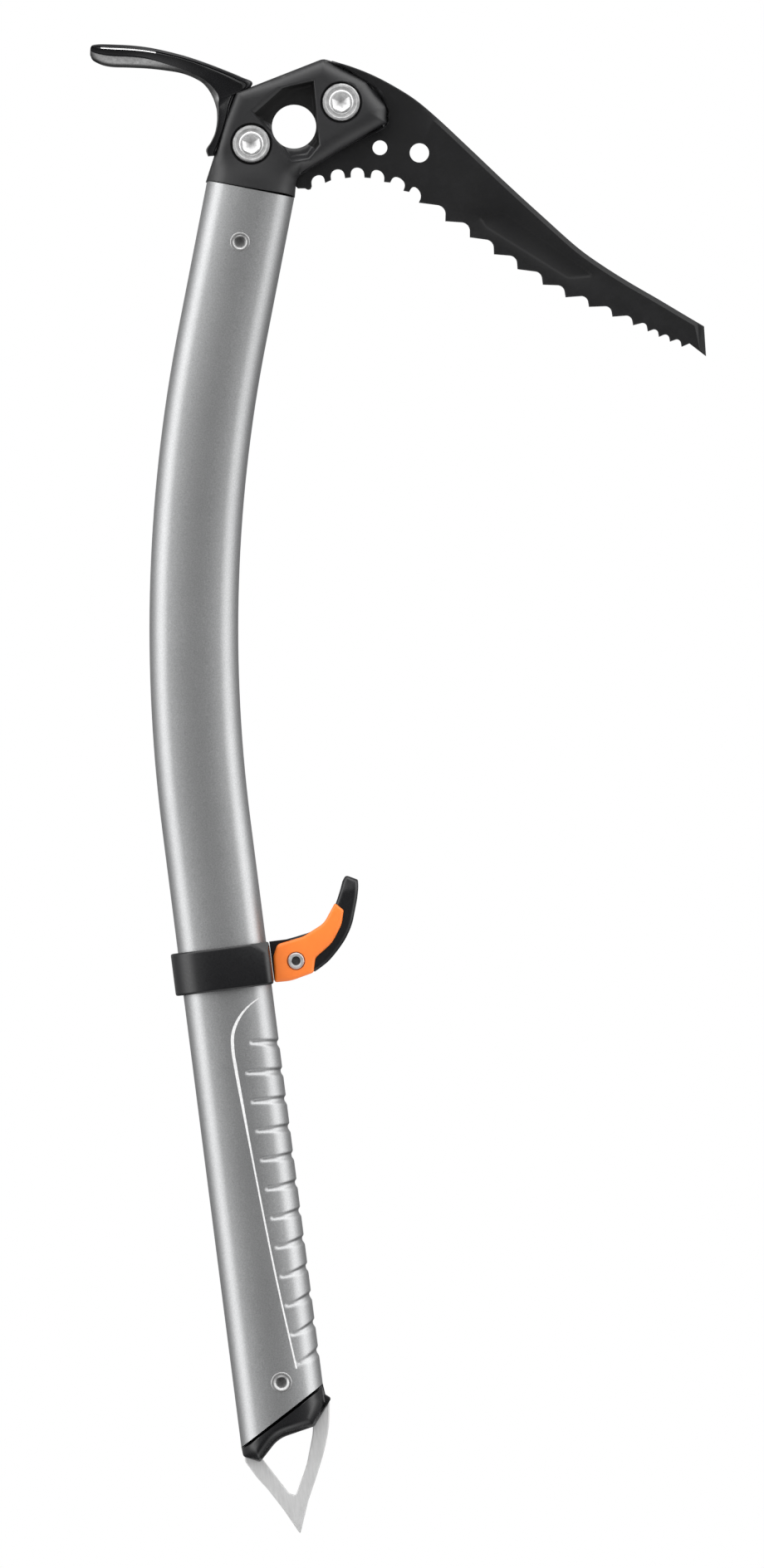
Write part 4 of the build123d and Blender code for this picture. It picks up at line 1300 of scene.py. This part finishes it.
def make_horn():
    lines = [(inset(HORN_OUTLINE, d), True) for d in (0.15, 0.5, 1.0, 1.6)]
    lines += [(inset(CHEEK_OUTLINE, d), True) for d in (0.02, 0.08)]
    turn = np.linspace(SWEEP_START, SWEEP_END, 44)
    sweep = PIVOT_XZ + SWING_TOP * np.stack([np.cos(turn), np.sin(turn)], axis=1)
    swings = (circle(PIVOT_XZ, SWING_BOSS), sweep)
    cutters = [prism(outline, -CHEEK_INNER, CHEEK_INNER) for outline in swings]
    shell = carve(relief(HORN_OUTLINE, horn_height, [], lines, 0.7), cutters)
    add_piece("rest_horn_core", shell, "rest_lever", REST_BLACK, ["rest_horn"], 40)


def make_pivot():
    """The pivot screw in the near cheek and the sleeve it turns into from the far side."""
    screw = lathe(PIVOT, [
        (1.5, 4.7), (1.5, -5.2), (3.1, -5.2), (3.1, -6.5), (2.8, -6.85), (2.2, -6.9),
        (1.75, -6.8), (1.6, -6.1), (1.45, -5.75), (0.3, -5.7),
    ], 64)
    # Painted shade: the socket's faces near the axis are coloured dark.
    socket_shade_faces = [(SOCKET_SHADE, faces_by_axis(screw, PIVOT, 1.6))]
    add_piece("pivot_screw", screw, "rest_lever", PIN_STEEL,
              ["rest_pivot_screw"], 35, socket_shade_faces)
    sleeve = lathe(PIVOT, [
        (1.6, -5.2), (2.4, -5.2), (2.4, 5.2), (3.1, 5.2), (3.1, 6.5), (2.8, 6.85), (0.3, 6.95),
    ], 64)
    add_piece("pivot_sleeve", sleeve, "rest_lever", PIN_STEEL,
              ["rest_pivot_sleeve"], 35)


def finish_inner_nodes():
    """The liner and the shoe keep their CAD shapes and get the rubber finish."""
    for name in ("rest_liner", "rest_shoe"):
        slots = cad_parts[name].data.materials
        slots.clear()
        slots.append(REST_RUBBER)


# ---------------------------------------------------------------- floor, light and camera

def make_stage():
    """A pale floor under the axe, which ends before the background of the main view."""
    left, right, front, back, level = -2.5, 2.5, -3.0, 0.5, -0.6
    corners = [(left, front), (right, front), (right, back), (left, back)]
    floor = new_mesh("floor", [(x, y, level) for x, y in corners], [(0, 1, 2, 3)])
    pale, _, _ = material("floor_pale", (0.85, 0.85, 0.85), 0.0, 0.9)
    floor.materials.append(pale)
    piece = new_object("floor", floor)
    piece.visible_glossy = False


def area_light(name, place, target, width, height, watts):
    data = bpy.data.lights.new(name, "AREA")
    data.shape = "RECTANGLE"
    data.size, data.size_y = width, height
    data.energy = watts
    lamp = new_object(name, data)
    lamp.location = place
    lamp.rotation_euler = (Vector(target) - Vector(place)).to_track_quat("-Z", "Y").to_euler()


def make_lights():
    middle_of_axe = (0, 0, -0.25)
    area_light("front_box", (-0.5, -3.0, 1.2), middle_of_axe, 0.8, 0.8, 3)
    area_light("top_box", (0.2, -0.5, 1.4), middle_of_axe, 1.2, 0.8, 5)


# Brightness of the studio by direction: by the angle from straight in front of the axe, and
# by height, from straight below to straight above.
STUDIO_ROUND = [
    (0, 0.21), (25, 0.26), (40, 0.85), (55, 2.6), (67, 3.4), (80, 2.6), (95, 1.2),
    (110, 0.45), (140, 0.3), (180, 0.4),
]
STUDIO_UP = [
    (-1.0, 0.8), (-0.85, 0.36), (-0.6, 0.16), (-0.3, 0.6), (0.0, 1.0), (0.5, 1.0),
    (0.8, 0.9), (1.0, 0.6),
]
STUDIO_PEAK = 3.4


def make_world():
    """White to the camera. Seen by the axe, bright round its sides, dim in front and behind."""
    world = bpy.data.worlds.new("studio")
    bpy.context.scene.world = world
    world.use_nodes = True
    tree = world.node_tree
    tree.nodes.clear()
    coords = node(tree, "ShaderNodeTexCoord")
    parts = node(tree, "ShaderNodeSeparateXYZ")
    tree.links.new(coords.outputs["Generated"], parts.inputs[0])
    forward = arithmetic(tree, "MULTIPLY", parts.outputs["Y"], -1)
    turned = arithmetic(tree, "DIVIDE", arithmetic(tree, "ARCCOSINE", forward), math.pi)
    around = ramp(tree, turned, [(a / 180, value / STUDIO_PEAK) for a, value in STUDIO_ROUND])
    raised = node(tree, "ShaderNodeMapRange")
    raised.inputs["From Min"].default_value = -1
    tree.links.new(parts.outputs["Z"], raised.inputs["Value"])
    upward = ramp(tree, raised.outputs["Result"], [((z + 1) / 2, value) for z, value in STUDIO_UP])
    studio = mix_colors(tree, 1.0, around, upward, "MULTIPLY")
    paths = node(tree, "ShaderNodeLightPath")
    lit = node(tree, "ShaderNodeBackground", Strength=STUDIO_PEAK)
    shown = node(tree, "ShaderNodeBackground", Strength=1.0)
    shown.inputs["Color"].default_value = (1, 1, 1, 1)
    tree.links.new(studio, lit.inputs["Color"])
    choice = node(tree, "ShaderNodeMixShader")
    tree.links.new(paths.outputs["Is Camera Ray"], choice.inputs[0])
    tree.links.new(lit.outputs[0], choice.inputs[1])
    tree.links.new(shown.outputs[0], choice.inputs[2])
    output = node(tree, "ShaderNodeOutputWorld")
    tree.links.new(choice.outputs[0], output.inputs["Surface"])


VIEW_CENTRE = (1.4, -250.0)
VIEW_HEIGHT = 591.1
VIEW_ROLL = math.radians(7.3)
LENS = 700.0


def make_camera():
    """A long lens square to the axe, rolled so that the shaft leans as it hangs."""
    data = bpy.data.cameras.new("camera")
    data.lens = LENS
    data.sensor_width = 36.0
    data.clip_end = 50
    distance = LENS / data.sensor_width * VIEW_HEIGHT * MM
    camera = new_object("camera", data)
    right = Vector((math.cos(VIEW_ROLL), 0, -math.sin(VIEW_ROLL)))
    up = Vector((math.sin(VIEW_ROLL), 0, math.cos(VIEW_ROLL)))
    back = Vector((0, -1, 0))
    turn = Matrix((right, up, back)).transposed().to_4x4()
    place = Vector((VIEW_CENTRE[0] * MM, -distance, VIEW_CENTRE[1] * MM))
    camera.matrix_world = Matrix.Translation(place) @ turn
    bpy.context.scene.camera = camera


make_camera()
make_world()
make_lights()
make_stage()
bpy.context.scene.view_settings.view_transform = "Standard"

make_shaft()
make_accent_line()
make_rivet("rivet_head", HEAD_RIVET, HEAD_RIVET_RADIUS, "head_rivet")
make_rivet("rivet_spike", SPIKE_RIVET, SPIKE_RIVET_RADIUS, "spike_rivet")
make_head()
make_bolt("bolt_front", FRONT_BOLT, "front_bolt")
make_bolt("bolt_rear", REAR_BOLT, "rear_bolt")
make_nut("nut_front", FRONT_BOLT, "front_nut")
make_nut("nut_rear", REAR_BOLT, "rear_nut")
make_pick()
make_adze()
make_spike()
make_end_plug()
make_band()
make_cheek(-1, "lever_cheek_near", "rest_cheek_near")
make_cheek(1, "lever_cheek_far", "rest_cheek_far")
make_horn()
make_pivot()
finish_inner_nodes()
